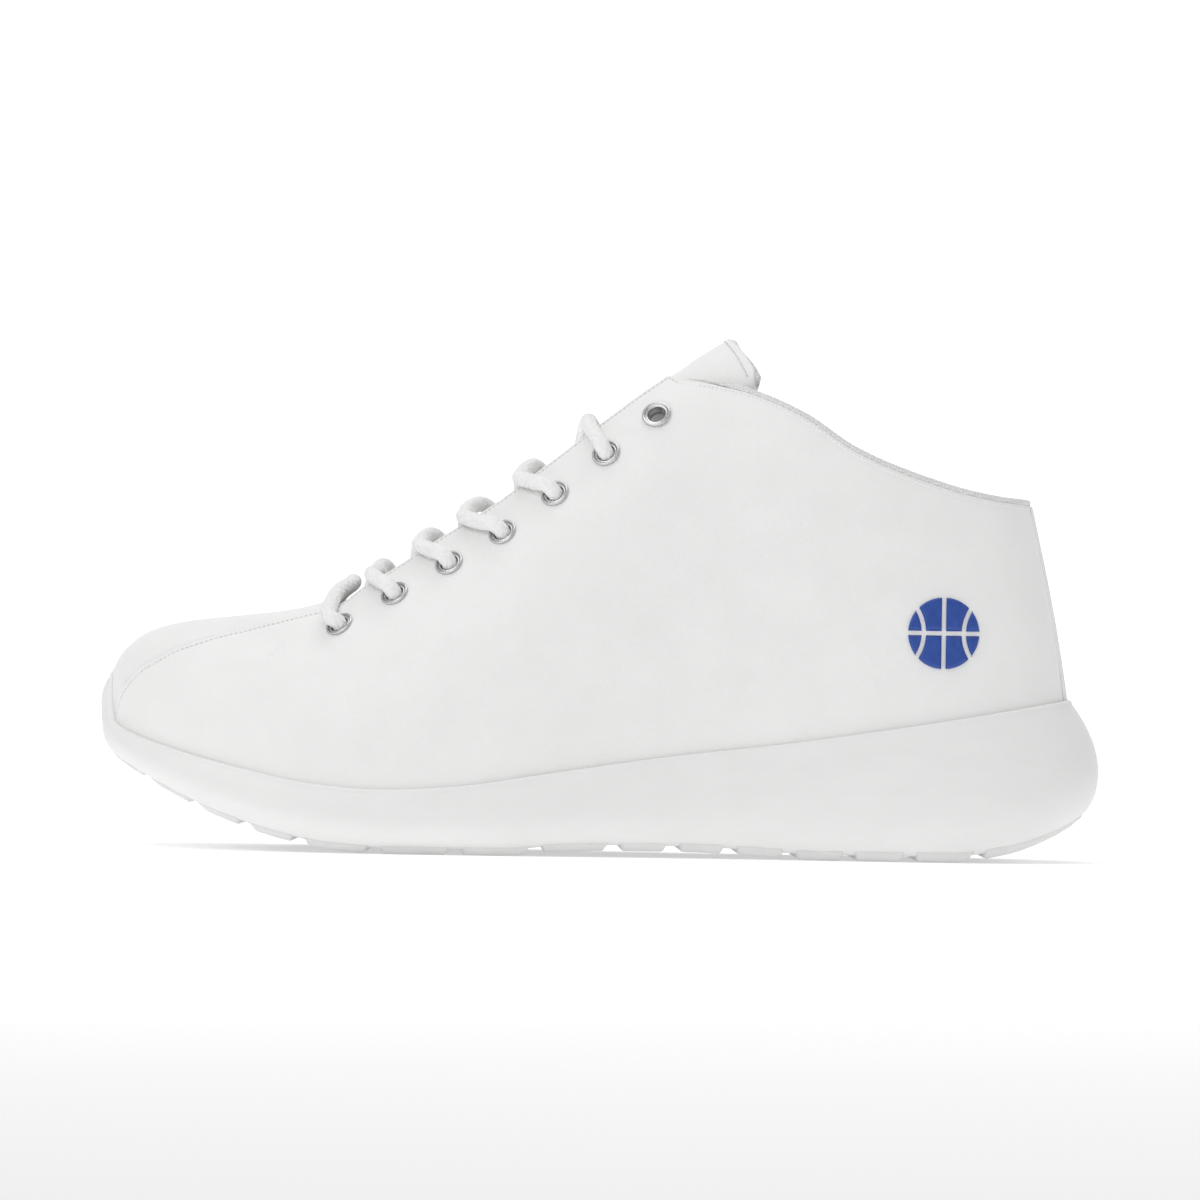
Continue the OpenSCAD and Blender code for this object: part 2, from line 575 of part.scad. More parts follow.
// Where each strand crosses the middle, and where it goes over the eyestay's edge on the outer and on the inner
// side, as shares of the way between its rows
crossings = [0.56, 0.36, 0.22, 0.28, 0.54];
landings = [[0.62, 0.5, 0.32, 0.4, 0.74], [0.86, 0.8, 0.78, 0.8, 0.84]];
function lace_point(x, side, d) = under(x, side, d);
function strand(i, medial) =
    let (
        m = medial ? 1 : -1,
        x0 = row_x(i),
        x1 = row_x(i + 1),
        c = crossings[i],
        e = landings[medial ? 0 : 1][i],
        g0 = profile(throat, x0),
        g1 = profile(throat, x1),
        e0 = abs(hole_side(x0, medial)),
        e1 = abs(hole_side(x1, !medial)),
        low = medial ? under_lace + 0.85 : under_lace - lace_d + 0.55,
        lift = medial ? 0 : 0.3
    )
    [
        eyelet_point(i, medial) - eyelet_normal(i, medial) * (barrel_l + 1),
        lace_point(mix(x0, x1, 0.15 * c), m * (e0 - 1.8), under_lace + 1),
        lace_point(mix(x0, x1, 0.58 * c), m * (g0 + 2.5), under_lace),
        lace_point(mix(x0, x1, 0.77 * c), m * (g0 - 4), mix(under_lace, low, 0.6)),
        lace_point(mix(x0, x1, c), m * 0.5, low),
        lace_point(mix(x0, x1, mix(c, e, 0.55)), -m * (g1 - 5), mix(low, over_edge, 0.62)),
        lace_point(mix(x0, x1, e), -m * (g1 + 1.5), over_edge - 0.3 - lift),
        lace_point(mix(x0, x1, mix(e, 1, 0.42)), -m * mix(g1, e1, 0.55), over_edge - 0.3 - lift),
        lace_point(mix(x0, x1, mix(e, 1, 0.84)), -m * (e1 - 1.4), bend_out - lift),
        eyelet_point(i + 1, !medial) + eyelet_normal(i + 1, !medial) * bore_entry
    ];
function chain(i, medial) =
    i >= laced_rows - 1 ? [] : concat(strand(i, medial), chain(i + 1, !medial));
function end_in(medial) = eyelet_point(laced_rows - 1, medial) - eyelet_normal(laced_rows - 1, medial) * 3.9;
// The bar across the lowest row, outer side to inner side
function bar() =
    let (x = row_x(0), g = profile(throat, x), l = hole_side(x, false), m = hole_side(x, true))
    [
        eyelet_point(0, false) + eyelet_normal(0, false) * bore_entry,
        lace_point(x - 1.8, l + 1.4, bend_out),
        lace_point(x - 2.4, -(g + 2), over_edge),
        lace_point(x - 0.2, -(g - 3.5), over_edge + 0.1),
        lace_point(x + 2.2, -g / 3, -0.4),
        lace_point(x + 2.6, 0, 0),
        lace_point(x + 2.2, g / 3, -0.4),
        lace_point(x - 0.2, g - 3.5, over_edge + 0.1),
        lace_point(x - 2.4, g + 2, over_edge - 0.3),
        lace_point(x - 1.8, m - 1.4, bend_out - 0.3),
        eyelet_point(0, true) + eyelet_normal(0, true) * bore_entry
    ];
function reversed(a) = [for (i = [len(a) - 1:-1:0]) a[i]];
// Both runs end inside the sixth row: the one that starts outside ends on the inner side.
lace_line = concat(
    [end_in(true)], reversed(chain(0, false)), bar(), chain(0, true), [end_in(false)]);
module lace() { color(shell_white) tube(lace_line, lace_d / 2, 8); }

// The free ends hang down inside the quarters and lie along the sockliner's edges, towards the toe.
tail_lateral = [
    [1.9, -16.6, 116.3], [2.3, -18.6, 113.6], [2, -22.2, 107.2], [1.4, -25.9, 98.6], [0.8, -29.4, 86],
    [0, -31.6, 72], [-1, -32.8, 56], [-4, -32.8, 40], [-13, -31.7, 28.5], [-27, -30.7, 23.2],
    [-45, -31.2, 21.6], [-63, -32.2, 21.6], [-81, -31.2, 23.6],
    [-98, -28.2, 26.8], [-112, -22.2, 30.5], [-119, -11.2, 33]
];
tail_medial = [
    [0.9, 15.2, 115.2], [1.3, 16.5, 112.4], [1.1, 19, 107.4], [0.6, 21.8, 100], [0, 24.4, 90],
    [-0.5, 26.5, 76], [-1, 28, 60], [-3, 28.2, 42], [-11, 28.8, 30], [-25, 31.3, 23.8],
    [-43, 33.3, 21.6], [-62, 35.8, 21.6], [-81, 36.3, 23.6],
    [-98, 34.8, 26.8], [-112, 30.8, 30.5], [-119, 22.8, 33]
];
module lace_tail(route) { color(shell_white) tube(smooth_line(route, 2), lace_d / 2, 8); }
module aglet(route) {
    tip = route[len(route) - 1];
    dir = unit(tip - route[len(route) - 2]);
    color(shell_white) translate(tip + dir * 0.3)
        rotate([0, acos(dir.z), atan2(dir.y, dir.x)]) cylinder(d = lace_d * 0.82, h = aglet_length * 0.5, $fn = 24);
}

// ---- Sole ----

// The cup's wall, the rounded lip and the outer wall of the midsole at parameter u, top down
inner_steps = 2;
wall_steps = 4;
foot_steps = 4;
function lip_height(u) =
    profile(lip, along(u)) + size_k * toe_peak * near_tip(u);
function near_tip(u) = exp(-((norm(outline(u) - outline(0)) / (toe_peak_w * size_k)) ^ 2));
function tread_height(x) = profile(tread, x);
function sole_wall(u) =
    let (
        x = along(u),
        s = section(u, -cup_gap),
        zj = lip_height(u),
        a = angle_at_height(s, zj - 0.6),
        p = outline(u),
        t = unit(bspline_slope(feather, u)),
        out = [t.y, -t.x],
        e = profile(bulge, x),
        at_lip = on_section(s, a),
        w = lip_w * (1 - 0.6 * near_tip(u)),
        lip_o = (at_lip.x - p.x) * out.x + (at_lip.y - p.y) * out.y + w,
        tucked = e - profile(tuck, x),
        foot_x = p.x + out.x * tucked,
        zb = tread_height(foot_x) + tread_depth,
        zc = mix(zb, zj, curve(bulge_at, x / size_k)),
        zl = zj - 1.1
    )
    concat(
        [for (i = [0:inner_steps]) on_section(s, a * i / inner_steps) - (i == 0 ? [0, 0, board_t + glue] : [0, 0, 0])],
        [wall_point(p, out, lip_o - w * 0.55, zj)],
        [for (i = [wall_steps:-1:0]) let (f = i / wall_steps)
            wall_point(p, out, e - (e - lip_o) * f * f, mix(zc, zl, f))],
        [for (i = [foot_steps - 1:-1:0]) let (a = 90 * i / foot_steps)
            wall_point(p, out, tucked + (e - tucked) * sin(a), zb + (zc - zb) * (1 - cos(a)))]
    );
function wall_point(p, out, o, z) = [p.x + out.x * o, p.y + out.y * o, z];

floor_steps = 3;
hollow = 0.3;           // how far the floor and the underside are hollowed along the middle
function share(i) = (i + 0.5) / (floor_steps + 0.5);
sole_us = stations(0.04, heel_at - 0.04, 40);
module midsole() {
    // Half of one ring: floor from the middle out, then the wall, then the bottom back to the middle
    function half(u) =
        let (w = sole_wall(u), v = sole_wall(turns - u), n = len(w) - 1)
        concat(
            [for (i = [0:floor_steps - 1]) let (f = share(i), q = mix(v[0], w[0], (1 + f) / 2))
                [q.x, q.y, w[0].z - hollow * (1 - f * f)]],
            w,
            [for (i = [floor_steps - 1:-1:0]) let (f = share(i), q = mix(v[n], w[n], (1 + f) / 2))
                [q.x, q.y, tread_height(q.x) + tread_depth + hollow * (1 - f * f)]]);
    color(foam_white) ring_solid([for (u = sole_us) concat(half(u), reversed(half(turns - u)))]);
}

// Rows of pods: the grooves' places along the shoe, and where each row is split across
groove_xs = [-146, -133.3, -118.1, -102.4, -86.3, -64.2, -40.8, -17.9, 4.5, 21.4, 37.9, 55, 72.4, 90.4, 110.8, 143.5];
pod_splits = [[0, 0.3], [0.345, 0.655], [0.7, 1]];
wrap_angle = 24;        // how far the outer pods wrap up the side
pod_gap = 0.6;          // gap between the pods and the midsole they are bonded to
function sole_bottom(u, angle, grow) =
    let (
        x = along(u),
        p = outline(u),
        t = unit(bspline_slope(feather, u)),
        out = [t.y, -t.x],
        e = profile(bulge, x),
        tucked = e - profile(tuck, x),
        zb = tread_height(p.x + out.x * tucked) + tread_depth,
        zc = mix(zb, lip_height(u), curve(bulge_at, x / size_k)),
        fade = 1 - angle / (wrap_angle + 6)
    )
    [p.x + out.x * (tucked + (e - tucked) * sin(angle) + grow * sin(angle) * fade),
     p.y + out.y * (tucked + (e - tucked) * sin(angle) + grow * sin(angle) * fade),
     zb + (zc - zb) * (1 - cos(angle)) - grow * fade];
// A point of the bottom at x and a share of the width, from the outer side to the inner side
function bottom_point(u, f, grow) =
    let (a = sole_bottom(u, 0, grow), b = sole_bottom(turns - u, 0, grow), q = mix(a, b, f))
    f <= 0 ? sole_bottom(u, wrap_angle * -f, grow)
    : f >= 1 ? sole_bottom(turns - u, wrap_angle * (f - 1), grow)
    : [q.x, q.y, tread_height(q.x) + tread_depth - grow];
module pod(x0, x1, f0, f1) {
    low = f0 == 0 ? -1 : f0;
    high = f1 == 1 ? 2 : f1;
    fs = f0 == 0 ? [-1, -0.5, 0, f1 / 2, f1] : f1 == 1 ? [f0, (f0 + 1) / 2, 1, 1.5, 2] : [f0, (f0 + f1) / 2, f1];
    n = x1 - x0 > 22 ? 7 : 3;
    us = [for (i = [0:n]) u_at(mix(x0, x1, i / n))];
    function face(grow) = [for (u = us) [for (f = fs) bottom_point(u, f, grow)]];
    grid_solid(face(tread_depth), face(pod_gap));
}
module outsole(first, last) {
    color(foam_white) for (i = [first:last]) for (split = pod_splits)
        pod(groove_xs[i] * size_k + groove_w / 2, groove_xs[i + 1] * size_k - groove_w / 2, split[0], split[1]);
}

// A flat layer that follows the bed, between the outline moved inwards by d
function layer_grid(us, d, lift) = [
    for (u = us) let (a = outline(u, d), b = outline(turns - u, d), z = profile(bed, along(u, d)))
        [for (i = [0:4]) let (q = mix(a, b, i / 4)) [q.x, q.y, z + lift(i / 2 - 1)]]
];
module insole_board() {
    us = stations(0.05, heel_at - 0.05, 30);
    top = function (f) -0.08;
    under = function (f) -board_t;
    color(board_grey) grid_solid(layer_grid(us, 0.5, top), layer_grid(us, 0.5, under));
}
module sockliner() {
    us = stations(0.05, heel_at - 0.05, 30);
    under = function (f) 0.1;
    top = function (f) sockliner_t * (0.86 + 0.14 * f * f);
    color(lining_white) grid_solid(layer_grid(us, 3.6, top), layer_grid(us, 3.6, under));
}

// ---- Badge: a ball in eight raised pieces ----

badge_x = 100 * size_k;
badge_z = 67 * size_k;
badge_gap = 1.3;
badge_seam_r = badge_d * 0.62;
badge_seam_c = badge_d * 0.9;
module badge() {
    r = badge_d / 2;
    half = badge_gap / 2;
    function edge(k, y) =    // the pieces' boundaries from the middle out: middle seam, arc's two sides, rim
        k == 0 ? half
        : k == 1 ? badge_seam_c - sqrt((badge_seam_r + half) ^ 2 - y * y)
        : k == 2 ? badge_seam_c - sqrt((badge_seam_r - half) ^ 2 - y * y)
        : sqrt(r * r - y * y);
    function top_y(k) = k == 0 ? r * 0.985 : r * 0.63;
    function face(k, sx, sy, d) = [
        for (i = [0:4]) let (y = mix(half, top_y(k), i / 4), x0 = edge(2 * k, y), x1 = min(edge(2 * k + 1, y), edge(3, y)))
            [for (j = [0:2]) side_point(badge_x + sx * mix(x0, x1, j / 2), badge_z + sy * y, d)]
    ];
    color(badge_blue) for (k = [0, 1]) for (sx = [-1, 1]) for (sy = [-1, 1])
        grid_solid(face(k, sx, sy, -badge_t), face(k, sx, sy, -0.12));
}

midsole();
outsole(0, 5);  // outsole_forefoot
outsole(6, 10);  // outsole_midfoot
outsole(11, 14);  // outsole_heel
insole_board();
sockliner();
vamp();
quarter(false);  // quarter_lateral
quarter(true);  // quarter_medial
toe_puff();
heel_counter();
eyestay_backer(false);  // eyestay_backer_lateral
eyestay_backer(true);  // eyestay_backer_medial
vamp_lining();
quarter_lining(false);  // quarter_lining_lateral
quarter_lining(true);  // quarter_lining_medial
collar_foam();
collar_binding();
heel_strip();
tongue_cover();
tongue_foam();
tongue_lining();
tongue_binding();
eyelets(false);  // eyelets_lateral
eyelets(true);  // eyelets_medial
washers(false);  // eyelet_washers_lateral
washers(true);  // eyelet_washers_medial
lace();
lace_tail(tail_lateral);  // lace_tail_lateral
lace_tail(tail_medial);  // lace_tail_medial
aglet(tail_lateral);  // aglet_lateral
aglet(tail_medial);  // aglet_medial
badge();
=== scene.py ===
import json
import math

import bpy
import numpy as np
from mathutils import Matrix


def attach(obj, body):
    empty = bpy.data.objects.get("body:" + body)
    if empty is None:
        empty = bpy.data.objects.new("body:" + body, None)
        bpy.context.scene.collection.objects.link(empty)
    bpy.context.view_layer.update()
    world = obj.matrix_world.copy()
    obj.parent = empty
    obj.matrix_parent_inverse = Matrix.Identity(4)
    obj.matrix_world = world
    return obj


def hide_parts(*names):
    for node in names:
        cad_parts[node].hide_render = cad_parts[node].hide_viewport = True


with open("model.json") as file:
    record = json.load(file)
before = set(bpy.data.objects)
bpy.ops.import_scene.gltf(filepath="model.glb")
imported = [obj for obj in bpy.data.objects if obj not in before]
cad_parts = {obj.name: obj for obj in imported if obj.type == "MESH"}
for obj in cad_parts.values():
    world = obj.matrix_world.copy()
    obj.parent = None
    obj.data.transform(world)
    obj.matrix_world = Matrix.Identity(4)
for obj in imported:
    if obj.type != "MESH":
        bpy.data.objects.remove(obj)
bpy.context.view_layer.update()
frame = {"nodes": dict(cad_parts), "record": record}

# Lengths are in millimetres up to make_piece, which turns them into metres.
MM = 0.001
PI = math.pi

# ---- Camera ----

VIEW_X, VIEW_Z = -0.0006, 0.0749      # the point the camera looks at
VIEW_DISTANCE = 2.95
VIEW_ROLL = math.radians(1.06)


def make_camera():
    data = bpy.data.cameras.new("camera")
    data.lens = 300
    data.sensor_width = 36
    data.clip_start, data.clip_end = 0.05, 50
    camera = bpy.data.objects.new("camera", data)
    c, s = math.cos(VIEW_ROLL), math.sin(VIEW_ROLL)
    camera.matrix_world = Matrix((
        (c, -s, 0, VIEW_X), (0, 0, -1, -VIEW_DISTANCE), (s, c, 0, VIEW_Z), (0, 0, 0, 1)))
    bpy.context.scene.collection.objects.link(camera)
    bpy.context.scene.camera = camera


make_camera()

# ---- Sizes, as in part.scad ----

SHELL_T, LINING_T, STIFFENER_T = 1.2, 0.6, 0.65
COLLAR_FOAM_T, COLLAR_H = 4.2, 37
EYELET_ROWS, LACED_ROWS = 7, 6
FIRST_ROW_X, ROW_PITCH, ROW_BOW = -76, 15.1, 1.4
LACE_D = 4.0
EYELET_HOLE_R = 3.35
TONGUE_FOAM_T, TONGUE_COVER_T, TONGUE_BINDING_R = 3.4, 0.8, 2.2
TREAD_DEPTH, GROOVE_W = 1.7, 5.2
BOARD_T, SOCKLINER_T, INSOLE_IN = 1.1, 4.4, 3.6
BADGE_D, BADGE_T = 21, 0.9
STIFF_OUT = SHELL_T + 0.3
STIFF_IN = STIFF_OUT + STIFFENER_T
LINING_OUT = STIFF_IN + 0.1
LINING_IN = LINING_OUT + LINING_T
WASHER_T = 0.5
BARREL_L = STIFF_IN + WASHER_T + 0.3
UNDER_LACE = BARREL_L + 0.1 + LACE_D / 2

FEATHER = np.array([
    [-146.9, 10.8], [-140, -15.2], [-116, -41.2], [-76, -52.2], [-32, -48.2], [12, -37.2], [54, -33.2],
    [94, -34.2], [129.5, -24.2], [143.6, 2.8], [129.5, 29.8], [92, 37.8], [52, 31.8], [10, 31.8],
    [-32, 42.8], [-74, 51.8], [-113, 48.8], [-140, 35.8]])
TURNS = len(FEATHER)
HEEL_AT = TURNS / 2
BED = [[-144.6, 33], [-135, 30.5], [-122, 26], [-104, 21], [-81, 16], [-60, 14], [-42, 14], [-17, 15],
       [19, 18], [55, 22], [88, 27], [120, 30.5], [140, 31.5]]
RIDGE = [[-144.6, 51], [-141, 57.3], [-134, 63], [-124, 66.2], [-106, 68.6], [-94, 70.1], [-83, 72.6],
         [-77, 76], [-70, 82], [-61, 88], [-46, 98.8], [-30, 109.3], [-15, 121], [0, 133], [13, 142.7],
         [18.6, 146.2], [24.5, 150.5], [30, 154.2], [34.5, 157.4], [48, 178], [64, 212], [90, 226],
         [140, 226]]
RIDGE_SIDE = [[-144.6, 10.6], [-110, 4.8], [-75, 1.8], [-32, 0.8], [10, 0.8], [54, 1.3], [110, 2.8]]
ROUND_SIDE = [[-145, 2.3], [-115, 2.3], [-95, 1.95], [-77, 1.65], [-45, 1.65], [-15, 1.8], [15, 1.9],
              [45, 1.6], [70, 1.3], [100, 1.08], [140, 1]]
ROUND_TOP = [[-145, 2.2], [-115, 2.2], [-95, 1.9], [-77, 1.7], [-45, 2], [-15, 2.6], [15, 3.2],
             [45, 3.2], [70, 2.6], [100, 1.75], [140, 1.35]]
THROAT = [[-143.5, 12.4], [-141.5, 15], [-138.2, 18.8], [-134.4, 21.6], [-127.5, 24.3], [-117.5, 24.9],
          [-106.5, 22.5], [-95.5, 16.8], [-83, 11.8], [-75, 13.3], [-45, 13.5], [0, 13], [15, 12], [22, 8],
          [30, 0.2]]
TOPLINE = [[11, 160], [16, 145], [21.5, 140], [28, 139.2], [37.5, 137.4], [45, 135], [58, 129.2],
           [73, 119.8], [84, 115.2], [98, 111], [113, 107.6], [127, 105.8], [140, 105]]
EYELET_SIDE = [[[-77, 23.7], [-60, 24.7], [-30, 25.3], [0, 23.4], [15, 21.2]],
               [[-77, 21.6], [-60, 22], [-30, 22], [0, 20], [15, 18.6]]]
LIP = [[-144.6, 37.5], [-137.6, 34], [-122, 29], [-104, 24.5], [-81, 20], [-63, 18.8], [-42, 20],
       [-17, 23.9], [19, 29.6], [55, 34.2], [88, 39.3], [140, 48.2]]
TOE_PEAK, TOE_PEAK_W = 13.5, 8.5
TREAD = [[-147.5, 31], [-141.3, 25.5], [-132.4, 20.3], [-116.3, 12.2], [-106, 8.1], [-93, 4], [-77, 0.9],
         [-60, 0], [-27, 0], [-14, 1.2], [6, 1.8], [24, 1.8], [42, 1.2], [58, 0.2], [66, 0], [104, 0],
         [112.3, 1.1], [121.7, 3.1], [130.5, 6.4], [136.3, 9.3], [142.1, 13.5], [147.5, 21]]
BULGE = [[-145, 3], [-100, 4], [-30, 4.5], [30, 4.5], [90, 6], [138, 8.5]]
TUCK = [[-147, 6], [-110, 8], [0, 9], [100, 9], [138, 7.5]]
BULGE_AT = [[-147, 0.67], [-130, 0.55], [-100, 0.45], [0, 0.42], [100, 0.4], [147, 0.37]]
LIP_W = 1.9

SIDES = ("lateral", "medial")

# ---- Curves and surfaces: the same functions as part.scad's, for whole arrays of numbers ----


def curve(points, x):
    xs, ys = np.array(points, float).T
    h = np.diff(xs)
    secant = np.diff(ys) / h
    a, b = secant[:-1], secant[1:]
    inner = np.where(a * b <= 0, 0, 2 * a * b / np.where(a + b == 0, 1, a + b))
    slope = np.concatenate([secant[:1], inner, secant[-1:]])
    x = np.clip(x, xs[0], xs[-1])
    i = np.clip(np.searchsorted(xs, x, side="right") - 1, 0, len(h) - 1)
    u = (x - xs[i]) / h[i]
    return (ys[i] * (1 + 2 * u) * (1 - u) ** 2 + slope[i] * h[i] * u * (1 - u) ** 2
            + ys[i + 1] * u * u * (3 - 2 * u) + slope[i + 1] * h[i] * u * u * (u - 1))


def unit(v):
    return v / np.linalg.norm(v, axis=-1, keepdims=True)


def mix(a, b, f):
    return a + (b - a) * f


def ease(a, b, x):
    f = np.clip((np.asarray(x, float) - a) / (b - a), 0, 1)
    return f * f * (3 - 2 * f)


def outline(u, d=0.0):
    u = np.asarray(u, float)
    i = np.floor(u).astype(int)
    f = (u - i)[..., None]
    a, b, c, e = (FEATHER[(i + k) % TURNS] for k in (-1, 0, 1, 2))
    point = (a * (1 - f) ** 3 + b * (3 * f ** 3 - 6 * f ** 2 + 4)
             + c * (-3 * f ** 3 + 3 * f ** 2 + 3 * f + 1) + e * f ** 3) / 6
    t = unit((-a * (1 - f) ** 2 + b * (3 * f ** 2 - 4 * f) + c * (-3 * f ** 2 + 2 * f + 1) + e * f ** 2) / 2)
    return point + np.stack([-t[..., 1], t[..., 0]], -1) * np.asarray(d, float)[..., None]


def outward(u):
    e = 1e-4
    t = unit(outline(u + e) - outline(u - e))
    return np.stack([t[..., 1], -t[..., 0]], -1)


def along(u, d=0.0):
    return (outline(u, d)[..., 0] + outline(TURNS - np.asarray(u, float), d)[..., 0]) / 2


def fanned(x):
    f = (x - 40) / 100
    return np.where(x < 40, x, 40 + 100 * (f - f * f / 2))


def section(u, d=0.0):
    u = np.asarray(u, float)
    foot = outline(u, d)
    x = along(u, d)
    top = np.stack([fanned(x), curve(RIDGE_SIDE, fanned(x))], -1)
    half = np.linalg.norm(top - foot, axis=-1)
    return dict(foot=foot, dir=(top - foot) / half[..., None], half=half, low=curve(BED, x),
                high=curve(RIDGE, x) - d, p=curve(ROUND_SIDE, x), q=curve(ROUND_TOP, x), x=x)


def on_section(s, a):
    def grown(v):
        return v.reshape(v.shape + (1,) * (np.ndim(a) - v.ndim))
    half, low, high, p, q = (grown(s[k]) for k in ("half", "low", "high", "p", "q"))
    inward = half * (1 - np.clip(np.cos(a), 0, 1) ** (2 / p))
    z = low + (high - low) * np.clip(np.sin(a), 0, 1) ** (2 / q)
    x, y = (grown(s["foot"][..., k]) + grown(s["dir"][..., k]) * inward for k in (0, 1))
    return np.stack([x, y, z], -1)


def angle_at_side(s, side):
    return np.arccos(np.minimum(1, side / s["half"]) ** (s["p"] / 2))


def angle_at_height(s, z):
    return np.arcsin(np.clip((z - s["low"]) / (s["high"] - s["low"]), 0, 1) ** (s["q"] / 2))


def edge_angle(s, gap=0.0):
    a = np.degrees(angle_at_side(s, curve(THROAT, s["x"]) + gap))
    b = np.degrees(angle_at_height(s, curve(TOPLINE, s["x"]) - gap))
    return np.radians(np.minimum(a, b) - np.maximum(7 - np.abs(a - b), 0) ** 2 / 28)


# Places along the outer half of the outline, and their x
HALF_US = np.linspace(0.02, HEEL_AT, 6000)
HALF_XS = along(HALF_US)


def u_at(x):
    return np.interp(x, HALF_XS, HALF_US)


def at_side(x, side):
    x, side = np.broadcast_arrays(np.asarray(x, float), np.asarray(side, float))
    u = u_at(x)
    s = section(np.where(side > 0, TURNS - u, u))
    return on_section(s, angle_at_side(s, np.abs(side)))


def normal_at(x, side):
    e = 0.5
    ahead = at_side(x + e, side) - at_side(x - e, side)
    return unit(np.cross(ahead, at_side(x, side + e) - at_side(x, side - e)))


def under(x, side, d):
    x, side, d = np.broadcast_arrays(*(np.asarray(v, float) for v in (x, side, d)))
    return at_side(x, side) - normal_at(x, side) * d[..., None]


def side_point(x, z, d):
    low, high = np.full(np.shape(x), 0.5), np.full(np.shape(x), HEEL_AT)
    for _ in range(22):
        m = (low + high) / 2
        s = section(m, d)
        p = on_section(s, angle_at_height(s, z))
        low, high = np.where(p[..., 0] < x, m, low), np.where(p[..., 0] < x, high, m)
    return p


def row_x(i):
    return FIRST_ROW_X + ROW_PITCH * i + ROW_BOW * math.sin(PI * i / (EYELET_ROWS - 1))


def hole_side(x, medial):
    return (1 if medial else -1) * curve(EYELET_SIDE[medial], x)


def eyelet_point(i, medial):
    return at_side(row_x(i), hole_side(row_x(i), medial))


def eyelet_normal(i, medial):
    return normal_at(row_x(i), hole_side(row_x(i), medial))


def at_eyelet(i, medial, out):
    """The point that far above the leather on an eyelet's axis."""
    return eyelet_point(i, medial) + eyelet_normal(i, medial) * out


def noise(p, size, seed):
    """Smooth noise from -1 to 1, in blobs about size millimetres across."""
    q = np.asarray(p) / size + 31.7 * (seed + 1)
    i = np.floor(q).astype(np.int64)
    f = q - i
    f = f * f * (3 - 2 * f)

    def at(dx, dy, dz):
        n = ((i[..., 0] + dx) * 73856093) ^ ((i[..., 1] + dy) * 19349663) ^ ((i[..., 2] + dz) * 83492791)
        n = (n ^ (n >> 13)) * 1274126177
        return ((n ^ (n >> 16)) & 0xFFFF) / 32767.5 - 1

    def across(dy, dz):
        return mix(at(0, dy, dz), at(1, dy, dz), f[..., 0])
    low, high = (mix(across(0, k), across(1, k), f[..., 1]) for k in (0, 1))
    return mix(low, high, f[..., 2])


# ---- Materials ----


class Nodes:
    """A short way to write a material's nodes; positions are in millimetres of the shoe's frame."""

    def __init__(self, name):
        self.material = bpy.data.materials.new(name)
        self.material.use_nodes = True
        self.tree = self.material.node_tree
        self.shader = self.tree.nodes["Principled BSDF"]
        coords = self.tree.nodes.new("ShaderNodeTexCoord")
        self.mm = self.add("ShaderNodeVectorMath", {0: coords.outputs["Object"], 1: (1000, 1000, 1000)},
                           operation="MULTIPLY").outputs[0]

    def add(self, kind, inputs, **settings):
        node = self.tree.nodes.new(kind)
        for key, value in settings.items():
            setattr(node, key, value)
        for key, value in inputs.items():
            if isinstance(value, bpy.types.NodeSocket):
                self.tree.links.new(value, node.inputs[key])
            else:
                node.inputs[key].default_value = value
        return node

    def stretch(self, scale):
        return self.add("ShaderNodeVectorMath", {0: self.mm, 1: scale}, operation="MULTIPLY").outputs[0]

    def noise(self, size, detail=3, roughness=0.55, vector=None):
        return self.add("ShaderNodeTexNoise", {"Vector": vector or self.mm, "Scale": 1 / size,
                                               "Detail": detail, "Roughness": roughness}).outputs[0]

    def cells(self, size, feature="F1"):
        return self.add("ShaderNodeTexVoronoi", {"Vector": self.mm, "Scale": 1 / size},
                        feature=feature).outputs["Distance"]

    def math(self, operation, a, b):
        return self.add("ShaderNodeMath", {0: a, 1: b}, operation=operation).outputs[0]

    def blend(self, a, b, share):
        """Two sockets mixed, with that share of the second."""
        return self.math("ADD", self.math("MULTIPLY", a, 1 - share), self.math("MULTIPLY", b, share))

    def remap(self, value, a, b, c, d):
        return self.add("ShaderNodeMapRange", {"Value": value, "From Min": a, "From Max": b,
                                               "To Min": c, "To Max": d}).outputs[0]

    def colour(self, factor, a, b):
        node = self.add("ShaderNodeMix", {0: factor}, data_type="RGBA")
        node.inputs[6].default_value = (*a, 1)
        node.inputs[7].default_value = (*b, 1)
        self.tree.links.new(node.outputs[2], self.shader.inputs["Base Color"])

    def bump(self, *heights):
        """Each height is a socket from 0 to 1 and its depth in millimetres."""
        normal = None
        for socket, depth in heights:
            inputs = {"Height": socket, "Distance": depth * MM, "Strength": 1.0}
            if normal:
                inputs["Normal"] = normal
            normal = self.add("ShaderNodeBump", inputs).outputs[0]
        self.tree.links.new(normal, self.shader.inputs["Normal"])

    def rough(self, smooth, matt, socket):
        self.tree.links.new(self.remap(socket, 0.3, 0.7, smooth, matt), self.shader.inputs["Roughness"])

    def set(self, **values):
        for key, value in values.items():
            self.shader.inputs[key.replace("_", " ")].default_value = value
        return self.material


def leather():
    n = Nodes("white_leather")
    soft, grain = n.noise(14, 4), n.noise(0.5, 3, 0.6)
    creases = n.cells(0.9, "DISTANCE_TO_EDGE")
    pits = n.math("SUBTRACT", 1, n.remap(n.cells(2.6), 0, 0.16, 0, 1))
    n.colour(n.remap(soft, 0.35, 0.65, 0, 1), (0.875, 0.875, 0.87), (0.895, 0.895, 0.89))
    n.rough(0.5, 0.64, n.noise(5, 4))
    n.bump((soft, 0.1), (n.remap(creases, 0, 0.25, 0, 1), 0.02), (grain, 0.035), (pits, -0.05))
    return n.set(Specular_IOR_Level=0.42, Coat_Weight=0.05, Coat_Roughness=0.35, Sheen_Weight=0.08,
                 Sheen_Roughness=0.5)


